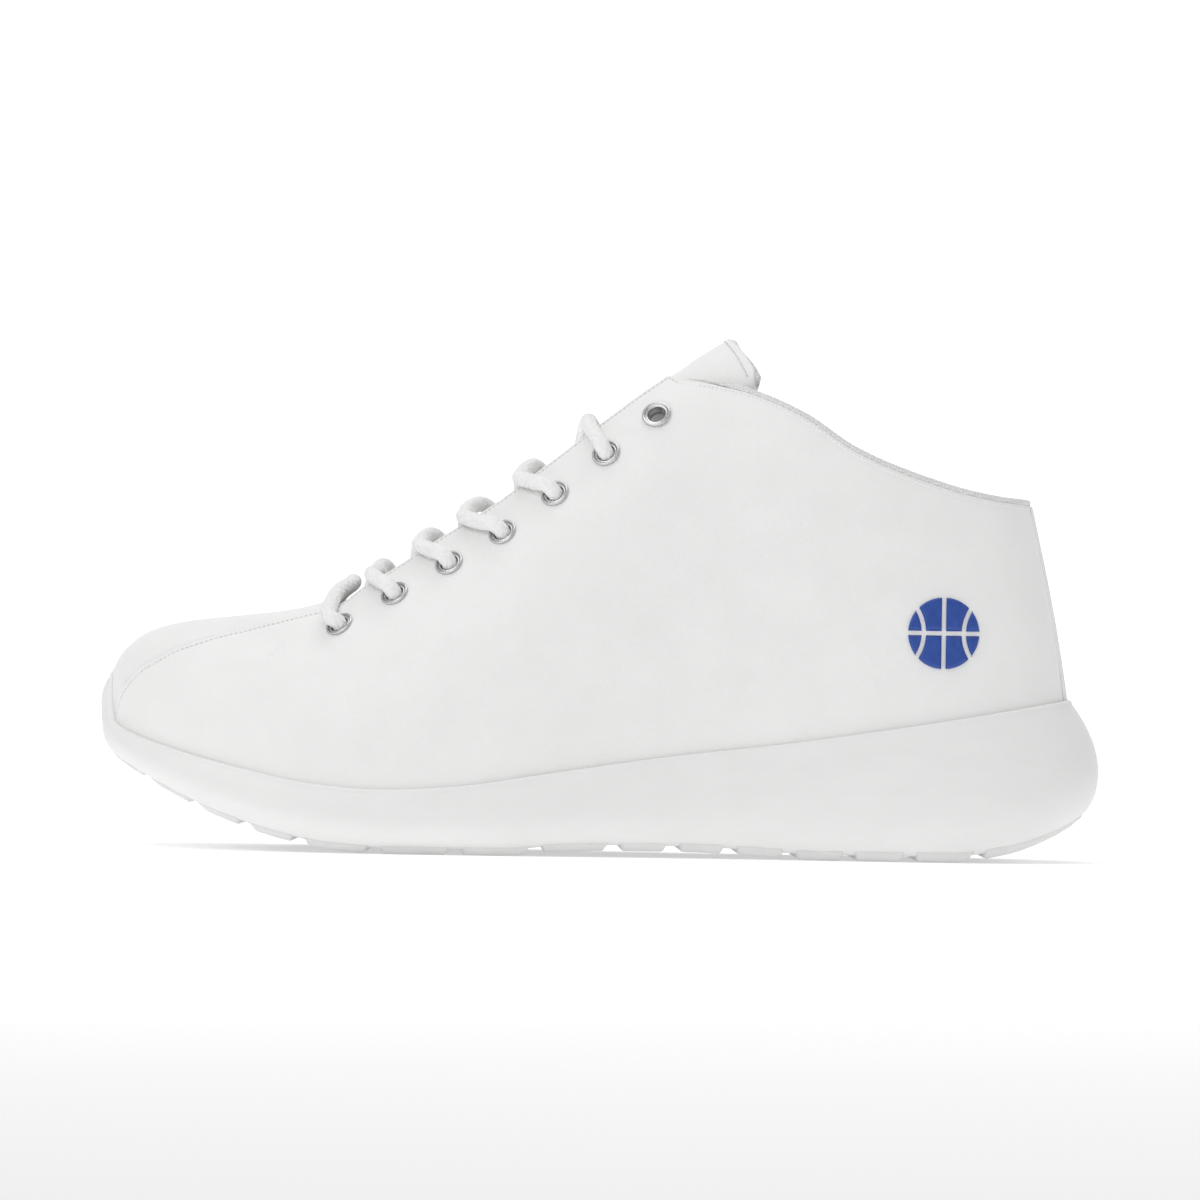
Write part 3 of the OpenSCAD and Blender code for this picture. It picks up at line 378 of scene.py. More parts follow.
def weave(name, a, b, pitch, depth, roughness=0.85, fibre=0.12):
    n = Nodes(name)
    across, down = (
        n.add("ShaderNodeTexWave", {"Vector": n.mm, "Scale": 0.314 / pitch, "Distortion": 1.5, "Detail": 1,
                                    "Detail Scale": 1.5}, bands_direction=way).outputs["Fac"] for way in "XZ")
    knots = n.math("MULTIPLY", across, down)
    n.colour(n.blend(knots, n.noise(6), 0.4), a, b)
    n.rough(roughness - 0.06, roughness + 0.06, n.noise(3))
    n.bump((knots, depth), (n.noise(fibre, 2), 0.05))
    return n.set(Specular_IOR_Level=0.3, Sheen_Weight=0.25, Sheen_Roughness=0.45)


def mesh_knit():
    n = Nodes("white_mesh_lining")
    holes = n.remap(n.cells(1.15), 0.0, 0.5, 0, 1)
    n.colour(n.blend(holes, n.noise(8), 0.2), (0.66, 0.66, 0.655), (0.86, 0.86, 0.855))
    n.rough(0.8, 0.92, n.noise(3))
    n.bump((holes, 0.3), (n.noise(0.18, 2), 0.06))
    return n.set(Specular_IOR_Level=0.25, Sheen_Weight=0.3, Sheen_Roughness=0.4)


def foam_sole(name, roughness, a, b, grain):
    n = Nodes(name)
    flow = n.noise(9, 5, 0.6, n.stretch((0.6, 0.6, 1.6)))
    n.colour(n.remap(flow, 0.35, 0.65, 0, 1), a, b)
    n.rough(roughness - 0.06, roughness + 0.06, n.noise(4, 4))
    n.bump((flow, 0.04), (n.noise(grain, 3, 0.6), 0.035), (n.cells(grain * 2.2), 0.015))
    return n.set(Specular_IOR_Level=0.45, Subsurface_Weight=0.0)


def open_foam():
    n = Nodes("padding_foam")
    cells = n.cells(0.8)
    n.colour(n.remap(cells, 0, 0.5, 0, 1), (0.6, 0.55, 0.38), (0.88, 0.83, 0.63))
    n.rough(0.88, 0.97, n.noise(3))
    n.bump((cells, 0.4), (n.noise(0.3, 2), 0.08))
    return n.set(Specular_IOR_Level=0.2)


def fibre_board():
    n = Nodes("fibre_board")
    fibres = n.noise(0.6, 5, 0.7, n.stretch((0.3, 1, 1)))
    n.colour(fibres, (0.62, 0.59, 0.53), (0.8, 0.77, 0.7))
    n.rough(0.8, 0.92, n.noise(2))
    n.bump((fibres, 0.08), (n.noise(6), 0.2))
    return n.set(Specular_IOR_Level=0.3)


def nickel():
    n = Nodes("satin_nickel")
    swirl = n.noise(0.7, 4, 0.6)
    n.colour(swirl, (0.56, 0.565, 0.57), (0.66, 0.665, 0.67))
    n.rough(0.22, 0.34, n.noise(0.5, 3))
    n.bump((swirl, 0.008), (n.noise(0.12, 2), 0.003))
    return n.set(Metallic=1.0)


def braid_cotton():
    n = Nodes("braided_lace")
    fibre = n.noise(0.16, 3, 0.65)
    n.colour(n.blend(fibre, n.remap(n.cells(0.95), 0, 0.5, 0, 1), 0.6),
             (0.83, 0.83, 0.825), (0.96, 0.96, 0.955))
    n.rough(0.8, 0.92, fibre)
    n.bump((fibre, 0.06), (n.cells(0.95), 0.1))
    return n.set(Specular_IOR_Level=0.3, Sheen_Weight=0.3, Sheen_Roughness=0.4)


def film():
    n = Nodes("clear_film")
    n.colour(n.noise(1.5), (0.8, 0.8, 0.8), (0.9, 0.9, 0.9))
    n.rough(0.15, 0.28, n.noise(1.2))
    n.bump((n.noise(0.8), 0.03), (n.noise(3), 0.05))
    return n.set(Specular_IOR_Level=0.6, Coat_Weight=0.6, Coat_Roughness=0.1)


def badge_plastic():
    n = Nodes("blue_soft_plastic")
    grain = n.noise(0.35, 3)
    n.colour(n.remap(n.noise(2.5, 3), 0.3, 0.7, 0, 1), (0.014, 0.058, 0.3), (0.022, 0.08, 0.38))
    n.rough(0.36, 0.48, n.noise(1))
    n.bump((grain, 0.02), (n.cells(0.6), 0.006))
    return n.set(Specular_IOR_Level=0.5)


MAT = {
    "upper_leather": leather(),
    "edge_binding": weave("binding_tape", (0.78, 0.78, 0.775), (0.95, 0.95, 0.945), 0.9, 0.3),
    "lining_knit": mesh_knit(),
    "padding_foam": open_foam(),
    "board": fibre_board(),
    "eva_foam": foam_sole("moulded_foam", 0.5, (0.85, 0.85, 0.845), (0.87, 0.87, 0.865), 0.45),
    "tread_rubber": foam_sole("tread_rubber", 0.58, (0.77, 0.77, 0.765), (0.83, 0.83, 0.825), 0.3),
    "nickel": nickel(),
    "lace_cotton": braid_cotton(),
    "aglet_film": film(),
    "badge_rubber": badge_plastic(),
}
THREAD = weave("sewing_thread", (0.78, 0.78, 0.775), (0.92, 0.92, 0.915), 0.2, 0.05, 0.7, 0.08)

# ---- Meshes ----


def make_piece(name, points, faces, slot, body="shoe", stands_for=(), material=None):
    points = np.asarray(points, float).reshape(-1, 3) * MM
    loops = np.concatenate([np.asarray(f).ravel() for f in faces]).astype(np.int32)
    sizes = np.concatenate([np.full(len(f), np.shape(f)[1]) for f in faces]).astype(np.int32)
    starts = np.concatenate([[0], np.cumsum(sizes)[:-1]]).astype(np.int32)
    # Signed volume, to turn every face outwards
    volume = 0.0
    for f in faces:
        f = np.asarray(f)
        for k in range(1, f.shape[1] - 1):
            volume += np.einsum("ij,ij->", points[f[:, 0]], np.cross(points[f[:, k]], points[f[:, k + 1]]))
    mesh = bpy.data.meshes.new(name)
    mesh.vertices.add(len(points))
    mesh.vertices.foreach_set("co", points.ravel())
    mesh.loops.add(len(loops))
    mesh.loops.foreach_set("vertex_index", loops)
    mesh.polygons.add(len(sizes))
    mesh.polygons.foreach_set("loop_start", starts)
    mesh.polygons.foreach_set("use_smooth", np.full(len(sizes), True))
    mesh.update(calc_edges=True)
    mesh.validate()
    if volume < 0:
        mesh.flip_normals()
    mesh.materials.append(material or MAT[slot])
    piece = bpy.data.objects.new(name, mesh)
    bpy.context.scene.collection.objects.link(piece)
    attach(piece, body)
    if stands_for:
        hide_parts(*stands_for)
    return piece


def quads(ids):
    return np.stack([ids[:-1, :-1], ids[1:, :-1], ids[1:, 1:], ids[:-1, 1:]], -1).reshape(-1, 4)


def grid_faces(rows, cols, start=0, wrap_rows=False, wrap_cols=False):
    ids = start + np.arange(rows * cols).reshape(rows, cols)
    if wrap_rows:
        ids = np.vstack([ids, ids[:1]])
    if wrap_cols:
        ids = np.hstack([ids, ids[:, :1]])
    return quads(ids)


def border(rows, cols):
    ids = np.arange(rows * cols).reshape(rows, cols)
    return np.concatenate([ids[0, :-1], ids[:-1, -1], ids[-1, :0:-1], ids[:0:-1, 0]])


def tube_faces(rows, sides):
    """Faces of a closed tube: its rings and its two ends."""
    ring = np.arange(sides)[None]
    return [grid_faces(rows, sides, wrap_cols=True), ring, (rows - 1) * sides + ring[:, ::-1]]


def sheet_faces(rows, cols, start=0):
    """Faces of a closed sheet: a grid, the grid behind it, and the edge between them."""
    n = rows * cols
    front = grid_faces(rows, cols, start)
    back = grid_faces(rows, cols, start + n)[:, ::-1]
    edge = border(rows, cols)
    after = np.roll(edge, -1)
    rim = np.stack([edge, after, after + n, edge + n], -1) + start
    return [np.concatenate([front, back, rim])]


def sheet(name, outer, inner, slot, **options):
    rows, cols = outer.shape[:2]
    return make_piece(name, np.concatenate([outer.reshape(-1, 3), inner.reshape(-1, 3)]),
                      sheet_faces(rows, cols), slot, **options)


def grid_normals(p):
    """A grid's normals, turned so that they point upwards on the whole."""
    n = np.cross(np.gradient(p, axis=0), np.gradient(p, axis=1))
    n = n / np.maximum(np.linalg.norm(n, axis=-1, keepdims=True), 1e-9)
    return n if np.sum(n[..., 2]) >= 0 else -n


def smooth_line(p, steps):
    p = np.asarray(p, float)
    n = len(p)
    f = (np.arange(steps) / steps)[None, :, None]
    a, b, c, d = (p[np.clip(np.arange(n - 1) + k, 0, n - 1)][:, None] for k in (-1, 0, 1, 2))
    q = (2 * b + (c - a) * f + (2 * a - 5 * b + 4 * c - d) * f ** 2 + (3 * b - a - 3 * c + d) * f ** 3) / 2
    return np.concatenate([q.reshape(-1, 3), p[-1:]])


def distances(line):
    return np.concatenate([[0], np.cumsum(np.linalg.norm(np.diff(line, axis=0), axis=1))])


def even_line(p, step):
    length = distances(p)
    at = np.linspace(0, length[-1], max(2, int(round(length[-1] / step)) + 1))
    return np.stack([np.interp(at, length, p[:, k]) for k in range(3)], -1), at


def frames(line):
    t = unit(np.gradient(line, axis=0))
    up = np.cross(t[0], [1, 0, 0] if abs(t[0][0]) < 0.8 else [0, 1, 0])
    ups = []
    for d in t:
        up = up - d * np.dot(d, up)
        up = up / np.linalg.norm(up)
        ups.append(up)
    ups = np.array(ups)
    return t, ups, np.cross(t, ups)


def rope(name, line, radius, sides, slot, relief=None, **options):
    """A round rope along a line; relief(angle, distance) gives how far its surface stands out."""
    t, up, side = frames(line)
    s = distances(line)
    angle = 2 * PI * np.arange(sides) / sides
    r = np.full((len(line), sides), float(radius))
    if relief:
        r = r + relief(angle[None, :], s[:, None])
    # Rounded ends
    end = np.minimum(s, s[-1] - s)
    r = r * np.sqrt(np.clip(1 - (1 - np.minimum(end / radius + 0.08, 1)) ** 2, 0.02, 1))[:, None]
    ring = np.cos(angle)[None, :, None] * up[:, None] + np.sin(angle)[None, :, None] * side[:, None]
    points = line[:, None] + ring * r[..., None]
    return make_piece(name, points, tube_faces(len(line), sides), slot, **options)


def plait(depth, strands=6, pitch=2.2):
    def relief(angle, s):
        a = angle * strands / (2 * PI) + s / pitch
        b = angle * strands / (2 * PI) - s / pitch
        over = (np.floor(a) + np.floor(b)) % 2 == 0
        fa, fb = np.sin(PI * (a % 1)), np.sin(PI * (b % 1))
        return depth * (np.where(over, fa, fb) ** 0.7 - 0.6)
    return relief


def circle(a, b, sides):
    """Directions around a circle, from a towards b."""
    angle = 2 * PI * np.arange(sides) / sides
    return np.cos(angle)[:, None] * a + np.sin(angle)[:, None] * b


def lathe(profile, sides, places, name, slot, **options):
    """Turned pieces: the profile's [radius, height] loop at each (origin, axis)."""
    profile = np.array(profile, float)
    points, faces = [], []
    for k, (origin, axis) in enumerate(places):
        x = unit(np.cross([0, 1, 0], axis))
        ring = circle(x, np.cross(axis, x), sides)
        radius, height = profile.T[:, :, None, None]
        points.append(origin + ring[None] * radius + axis * height)
        first = k * len(profile) * sides
        faces.append(grid_faces(len(profile), sides, first, wrap_rows=True, wrap_cols=True))
    return make_piece(name, np.array(points), [np.concatenate(faces)], slot, **options)


def stitches(name, rows, body="shoe", pitch=1.5, length=1.1, radius=0.21):
    """Rows of stitches; each row is its line of points and the surface's outward direction there."""
    sides = 6
    shape = [(-0.5, 0.45, -0.14), (-0.36, 0.95, 0.0), (0, 1.08, 0.05), (0.36, 0.95, 0.0), (0.5, 0.45, -0.14)]
    points = []
    for line, out in rows:
        d = distances(line)
        for at in np.arange(pitch / 2, d[-1], pitch):
            def value(v, where):
                return np.array([np.interp(where, d, v[:, k]) for k in range(3)])
            centre, normal = value(line, at), unit(value(out, at))
            t = unit(value(line, min(at + 0.3, d[-1])) - value(line, max(at - 0.3, 0)))
            ring = circle(normal, np.cross(normal, t), sides)
            for f, r, lift in shape:
                points.append(centre + t * f * length + normal * lift + ring * r * radius)
    n = len(shape)
    starts = np.arange(len(points) // n) * n * sides
    around = np.concatenate([grid_faces(n, sides, k, wrap_cols=True) for k in starts])
    ring = np.arange(sides)
    caps = np.concatenate([[k + ring[::-1], k + (n - 1) * sides + ring] for k in starts])
    return make_piece(name, np.concatenate(points), [around, caps], "upper_leather", body=body,
                      material=THREAD)


# ---- Free ends of the lace: the cords come first ----

TAIL_LATERAL = np.array([
    [1.9, -16.6, 116.3], [2.3, -18.6, 113.6], [2, -22.2, 107.2], [1.4, -25.9, 98.6], [0.8, -29.4, 86],
    [0, -31.6, 72], [-1, -32.8, 56], [-4, -32.8, 40], [-13, -31.7, 28.5], [-27, -30.7, 23.2],
    [-45, -31.2, 21.6], [-63, -32.2, 21.6], [-81, -31.2, 23.6],
    [-98, -28.2, 26.8], [-112, -22.2, 30.5], [-119, -11.2, 33]])
TAIL_MEDIAL = np.array([
    [0.9, 15.2, 115.2], [1.3, 16.5, 112.4], [1.1, 19, 107.4], [0.6, 21.8, 100], [0, 24.4, 90],
    [-0.5, 26.5, 76], [-1, 28, 60], [-3, 28.2, 42], [-11, 28.8, 30], [-25, 31.3, 23.8],
    [-43, 33.3, 21.6], [-62, 35.8, 21.6], [-81, 36.3, 23.6],
    [-98, 34.8, 26.8], [-112, 30.8, 30.5], [-119, 22.8, 33]])
AGLET_L = 11


def lace_ends():
    for side, route in (("lateral", TAIL_LATERAL), ("medial", TAIL_MEDIAL)):
        line, _ = even_line(smooth_line(route, 8), 0.5)
        tail = rope(f"lace_end_{side}", line, 1.95, 24, "lace_cotton", plait(0.22),
                    stands_for=[f"lace_tail_{side}"])
        tip = route[-1]
        axis = unit(tip - route[-2])
        r = LACE_D * 0.41
        profile = [(0.01, -1.5), (r - 0.25, -1.5), (r, -1.2), (r + 0.03, 1), (r - 0.1, 2), (r, 3), (r, 7),
                   (r - 0.1, 8), (r - 0.05, 10), (r - 0.35, 10.8), (r - 0.8, AGLET_L), (0.01, AGLET_L)]
        aglet = lathe(profile, 24, [(tip + axis * 0.3, axis)], f"aglet_tip_{side}", "aglet_film",
                      stands_for=[f"aglet_{side}"])


lace_ends()

# ---- The laced part of the lace ----

BORE_ENTRY, BEND_OUT = 1.5, -3.75
OVER_EDGE = -(LACE_D / 2 + 0.25)
# Where each strand crosses the middle, and where it goes over the eyestay's edge on the outer and on the
# inner side, as shares of the way between its rows
CROSSINGS = [0.56, 0.36, 0.22, 0.28, 0.54]
LANDINGS = [[0.62, 0.5, 0.32, 0.4, 0.74], [0.86, 0.8, 0.78, 0.8, 0.84]]


def strand(i, medial):
    m = 1 if medial else -1
    x0, x1 = row_x(i), row_x(i + 1)
    c, e = CROSSINGS[i], LANDINGS[0 if medial else 1][i]
    g0, g1 = curve(THROAT, x0), curve(THROAT, x1)
    e0, e1 = abs(hole_side(x0, medial)), abs(hole_side(x1, not medial))
    low = UNDER_LACE + 0.85 if medial else UNDER_LACE - LACE_D + 0.55
    lift = 0 if medial else 0.3
    return [
        at_eyelet(i, medial, -BARREL_L - 1),
        under(mix(x0, x1, 0.15 * c), m * (e0 - 1.8), UNDER_LACE + 1),
        under(mix(x0, x1, 0.58 * c), m * (g0 + 2.5), UNDER_LACE),
        under(mix(x0, x1, 0.77 * c), m * (g0 - 4), mix(UNDER_LACE, low, 0.6)),
        under(mix(x0, x1, c), m * 0.5, low),
        under(mix(x0, x1, mix(c, e, 0.55)), -m * (g1 - 5), mix(low, OVER_EDGE, 0.62)),
        under(mix(x0, x1, e), -m * (g1 + 1.5), OVER_EDGE - 0.3 - lift),
        under(mix(x0, x1, mix(e, 1, 0.42)), -m * mix(g1, e1, 0.55), OVER_EDGE - 0.3 - lift),
        under(mix(x0, x1, mix(e, 1, 0.84)), -m * (e1 - 1.4), BEND_OUT - lift),
        at_eyelet(i + 1, not medial, BORE_ENTRY)]


def chain(medial):
    points = []
    for i in range(LACED_ROWS - 1):
        points += strand(i, medial)
        medial = not medial
    return points


def bar_half(medial):
    m = 1 if medial else -1
    x, lift = row_x(0), 0.3 if medial else 0
    g = curve(THROAT, x)
    return [
        at_eyelet(0, medial, BORE_ENTRY),
        under(x - 1.8, hole_side(x, medial) - m * 1.4, BEND_OUT - lift),
        under(x - 2.4, m * (g + 2), OVER_EDGE - lift),
        under(x - 0.2, m * (g - 3.5), OVER_EDGE + 0.1),
        under(x + 2.2, m * g / 3, -0.4)]


def laced():
    last = LACED_ROWS - 1
    bar = bar_half(False) + [under(row_x(0) + 2.6, 0, 0)] + bar_half(True)[::-1]
    ends = [at_eyelet(last, medial, -3.9) for medial in (True, False)]
    line = ends[:1] + chain(False)[::-1] + bar + chain(True) + ends[1:]
    line, _ = even_line(smooth_line(line, 10), 0.35)
    rope("lace_braid", line, 2.2, 36, "lace_cotton", plait(0.36), stands_for=["lace"])


laced()

# ---- Upper ----

SEAM_START = u_at(-142.6)
VAMP_END_X = -77.5
STITCH_IN, ON_TOP = 1.5, 0.02     # how far stitches lie from the panel's edge and above its surface
VAMP_ROWS = [0, 0.6, 1.2, 1.8, 2.3, 2.7, 3.1, 3.6, 4.2, 5, 6, 7, 8.5, 10]
EDGE_ROWS = [0, 0.12, 0.3, 0.55, 0.85, 1.2, 1.6, 2.1, 2.7, 3.4, 4.2, 5.1, 6, 7, 8]


def even_us(a, b, n):
    """Outline parameters from a to b, evenly spaced along the outline."""
    u = np.linspace(a, b, 4000)
    d = distances(outline(u))
    return np.interp(np.linspace(0, d[-1], n), d, u)


def rows_from(s, start, end, first, rest):
    """Angles along each section from start to end, at the distances in first and then evenly; with
    those distances."""
    t = np.linspace(0, 1, 400)
    a = start[:, None] + (end - start)[:, None] * t
    p = on_section(s, a)
    d = np.array([distances(line) for line in p])
    first = np.array(first, float)
    angles, places = [], []
    for k in range(len(a)):
        scale = min(1, d[k, -1] / (first[-1] * 1.6))
        near = first * scale
        at = np.concatenate([near, near[-1] + (d[k, -1] - near[-1]) * (np.arange(1, rest + 1) / rest)])
        angles.append(np.interp(at, d[k], a[k]))
        places.append(at)
    return np.array(angles), np.array(places)


CREASES = [  # soft creases in the quarters: points [x, z], depth, width
    ([(-102, 65.5), (-96, 63.5), (-93.5, 60), (-96.5, 56.5)], 0.36, 0.7),
    ([(-112, 50), (-106, 52.5), (-99, 52)], 0.12, 2.2),
    ([(-60, 40), (-56, 30), (-57, 24)], 0.1, 3.5),
    ([(40, 96), (62, 88), (86, 86)], 0.25, 6.0),
    ([(46, 74), (66, 69), (84, 72)], 0.2, 6.0),
]


def bell(x, at, width):
    """1 at that place, falling smoothly away on both sides."""
    return np.exp(-((x - at) / width) ** 2)


def rounded_edge(r, d):
    """How far a rounded edge of radius r lies back, at the distance d from it."""
    return np.where(d < r, r - np.sqrt(np.clip(r * r - (r - d) ** 2, 0, None)), 0)


def crease_depth(p, medial):
    depth = np.zeros(p.shape[:-1])
    for points, size, width in CREASES:
        q = smooth_line([[x, 0, z] for x, z in points], 8)[:, [0, 2]]
        near = np.min(np.linalg.norm(p[..., None, [0, 2]] - q, axis=-1), axis=-1)
        depth += size * bell(near, 0, width) - 0.5 * size * bell(near, 1.8 * width, width)
    return depth * (0.5 if medial else 1.0)


def quarter(medial, side):
    lateral_us = even_us(SEAM_START, HEEL_AT - 0.006, 430)
    us = TURNS - lateral_us if medial else lateral_us
    s = section(us)
    top = np.maximum(edge_angle(s, 0.1), math.radians(1.5))
    first = EDGE_ROWS + [9 + k for k in range(22)]
    angles, d = rows_from(s, top, np.zeros_like(top), first, 34)
    p = on_section(s, angles)
    n = grid_normals(p)
    depth = rounded_edge(mix(0.5, 0.2, ease(18, 26, p[..., 0])), d)
    on_vamp = 1 - ease(-80, -74, p[..., 0])
    depth += 0.16 * bell(d, STITCH_IN, 0.4) - on_vamp * 0.45 * bell(d, 0, 4) - 0.12 * bell(d, 0.9, 0.5)
    inside = ease(3, 14, d)
    depth += inside * (0.14 * noise(p, 26, 1) + 0.05 * noise(p, 9, 2) + 0.02 * noise(p, 3.2, 3))
    depth += inside * crease_depth(p, medial)
    for i in range(EYELET_ROWS):
        away = np.linalg.norm(np.cross(p - eyelet_point(i, medial), eyelet_normal(i, medial)), axis=-1)
        depth -= 0.4 * (1 - ease(3.9, 8.5, away))
    outer = p - n * depth[..., None]
    inner = p - n * SHELL_T
    # Holes for the eyelets
    rows, cols = outer.shape[:2]
    points = np.concatenate([outer.reshape(-1, 3), inner.reshape(-1, 3)])
    faces = sheet_faces(rows, cols)[0]
    middle = points[faces].mean(axis=1)
    keep = np.ones(len(faces), bool)
    for i in range(EYELET_ROWS):
        v = middle - eyelet_point(i, medial)
        axis = eyelet_normal(i, medial)
        keep &= (np.linalg.norm(np.cross(v, axis), axis=-1) > EYELET_HOLE_R) | (np.abs(v @ axis) > 4)
    make_piece(f"quarter_panel_{side}", points, [faces[keep]], "upper_leather",
               stands_for=[f"quarter_{side}"])
    # Stitches beside the edge, from the toe to the start of the collar binding
    line, out = (np.array([[np.interp(STITCH_IN, d[k], grid[k, :, c]) for c in range(3)]
                           for k in range(rows)]) for grid in (outer, n))
    use = (line[:, 0] < 22) & (d[:, -1] > 6)
    stitches(f"edge_stitches_{side}", [(line[use] + out[use] * ON_TOP, out[use])])


for medial, side in enumerate(SIDES):
    quarter(medial, side)


def vamp():
    us = even_us(0.05, u_at(VAMP_END_X), 170)
    halves = []
    for u in (us, TURNS - us):
        s = section(u)
        seam = np.where(s["half"] <= curve(THROAT, s["x"]), 0, edge_angle(s, 0.1))
        low = np.where(s["half"] <= curve(THROAT, s["x"]) + 2.4, 0, edge_angle(s, 2.4))
        low = np.minimum(low, seam)
        angles, d = rows_from(s, low, np.full_like(low, PI / 2), VAMP_ROWS, 22)
        t = np.linspace(0, 1, 60)
        to_seam = on_section(s, low[:, None] + (seam - low)[:, None] * t)
        d_seam = np.sum(np.linalg.norm(np.diff(to_seam, axis=1), axis=2), axis=1)
        covered = ease(-1.5, 1.5, s["half"] - curve(THROAT, s["x"]))
        halves.append((on_section(s, angles), d - d_seam[:, None], covered[:, None] + 0 * d))
    p, d, covered = (np.concatenate([a, b[:, -2::-1]], axis=1) for a, b in zip(*halves))
    n = grid_normals(p)
    depth = 1.0 * covered * (1 - ease(0.1, 2.2, d))
    depth += ease(1, 8, d) * (0.1 * noise(p, 22, 4) + 0.04 * noise(p, 7, 5))
    depth += rounded_edge(0.5, np.clip((VAMP_END_X - p[..., 0]), 0, None))
    outer = p - n * depth[..., None]
    inner = p - n * (np.maximum(depth + 0.7, SHELL_T))[..., None]
    sheet("vamp_panel", outer, inner, "upper_leather", stands_for=["vamp"])


vamp()


def foam_depth(x, z):
    f = (curve(TOPLINE, x) - z) / COLLAR_H
    inside = (f > 0) & (f < 1)
    f = np.clip(f, 0, 1)
    return np.where(inside, COLLAR_FOAM_T * ease(60, 78, x) * np.sin(PI * (1 - f) ** 1.6) ** 0.8, 0)


def lined(u, a, out):
    """A point of a lining: u and the angles a have the same shape."""
    s = section(u, out)
    p = on_section(s, a)
    deep = section(u, out + foam_depth(s["x"], p[..., 2]))
    return on_section(deep, angle_at_height(deep, p[..., 2]))


LINING_EDGE = [[[-80, 33], [10, 32], [20, 22], [30, 0.2]],
               [[-80, 30], [-40, 29], [10, 26.5], [20, 20], [30, 0.2]]]


def linings():
    lateral_us = np.concatenate([even_us(u_at(-82.5), u_at(60), 90)[:-1],
                                 even_us(u_at(60), HEEL_AT - 0.004, 90)])
    for medial, side in enumerate(SIDES):
        us = TURNS - lateral_us if medial else lateral_us
        s = section(us, LINING_OUT)
        top = np.minimum(angle_at_side(s, curve(LINING_EDGE[medial], s["x"])),
                         angle_at_height(s, curve(TOPLINE, s["x"]) - 0.6))
        angles, _ = rows_from(s, top, np.zeros_like(top), [0, 0.5, 1, 2, 3], 60)
        u = np.repeat(us[:, None], angles.shape[1], axis=1)
        outer, inner = lined(u, angles, LINING_OUT), lined(u, angles, LINING_IN)
        n = unit(inner - outer)
        inner = inner + n * (0.16 * noise(inner, 12, 6) + 0.05 * noise(inner, 4, 7))[..., None]
        sheet(f"lining_{side}", outer, inner, "lining_knit", stands_for=[f"quarter_lining_{side}"])


linings()


def collar_padding():
    a = u_at(60)
    us = even_us(a, TURNS - a, 150)
    rows = np.linspace(0.02, 5.65 / 6, 24)

    def band(under_lining):
        s0 = section(us, STIFF_OUT)
        z = curve(TOPLINE, s0["x"])[:, None] - COLLAR_H * (1 - rows[None])
        u = np.repeat(us[:, None], len(rows), axis=1)
        depth = LINING_OUT - 0.3 + foam_depth(along(u), z) if under_lining else np.full(z.shape, STIFF_OUT)
        s = section(u, depth)
        return on_section(s, angle_at_height(s, z))
    piece = sheet("collar_padding", band(False), band(True), "padding_foam", stands_for=["collar_foam"])


collar_padding()


def topline_binding():
    rise = 1.9
    start = u_at(24)
    us = even_us(start, TURNS - start, 620)
    s = section(us)
    outside = on_section(s, edge_angle(s))
    si = section(us, LINING_IN)
    inside = lined(us, angle_at_height(si, outside[:, 2]), LINING_IN)
    mid = (outside + inside) / 2
    mid[:, 2] += rise / 2 - 0.35
    across = inside - outside
    across[:, 2] = 0
    wide = np.linalg.norm(outside - inside, axis=1) / 2 + 0.06
    across = unit(across)
    d = distances(mid)
    end = 0.15 + 0.85 * ease(0, 16, np.minimum(d, d[-1] - d))
    wide = wide * end
    ring = 16
    angle = 2 * PI * (np.arange(ring) + 0.5) / ring
    rib = 1 + 0.07 * np.abs(np.sin(PI * d / 1.25))[:, None] - 0.035
    cos, sin = np.cos(angle)[None], np.sin(angle)[None]
    flat = np.abs(cos) ** 0.75 * np.sign(cos), np.abs(sin) ** 0.75 * np.sign(sin)
    points = mid[:, None] + across[:, None] * (wide[:, None] * flat[0] * rib)[..., None]
    points[..., 2] += rise / 2 * end[:, None] * flat[1] * (2 * rib - 1)
    make_piece("topline_tape", points, tube_faces(len(us), ring), "edge_binding",
               stands_for=["collar_binding"])
    # Its stitches on the quarters, just below
    low = on_section(s, edge_angle(s, 0.95))
    down = on_section(s, edge_angle(s, 0.6)) - on_section(s, edge_angle(s, 1.3))
    out = unit(np.cross(np.gradient(low, axis=0), down))
    out *= np.sign(np.sum(out[:, :2] * outward(us), axis=1))[:, None]
    use = slice(6, -6)
    stitches("topline_stitches", [(low[use] + out[use] * ON_TOP, out[use])], pitch=1.3, length=0.8,
             radius=0.17)


topline_binding()


def heel_strip():
    half = 0.24
    us = HEEL_AT + half * np.linspace(-1, 1, 41)
    f = np.linspace(0, 1, 130)

    def face(d):
        s = section(us, d)
        low = angle_at_height(s, curve(LIP, s["x"]) - 2)
        high = angle_at_height(s, curve(TOPLINE, s["x"]) - 0.3)
        return on_section(s, low[:, None] + (high - low)[:, None] * f)
    w = np.abs(np.linspace(-1, 1, 41))
    rise = 0.14 * bell(w, 0.7, 0.07) - 0.1
    rise -= 0.62 * np.sqrt(np.clip(1 - (np.clip(w - 0.86, 0, 1) / 0.14) ** 2, 0, 1))
    outer = np.stack([face(r)[k] for k, r in enumerate(rise)])
    n = unit(face(-1.0) - face(0.0))
    outer = outer - n * (0.06 * noise(outer, 5, 8))[..., None]
    inner = face(-0.02)
    sheet("heel_strip_panel", outer, inner, "upper_leather", stands_for=["heel_strip"])
    stitches("heel_stitches", [(outer[k] + n[k] * ON_TOP, n[k]) for k in (6, 34)], pitch=1.4, length=1.0)


heel_strip()

# ---- Tongue ----

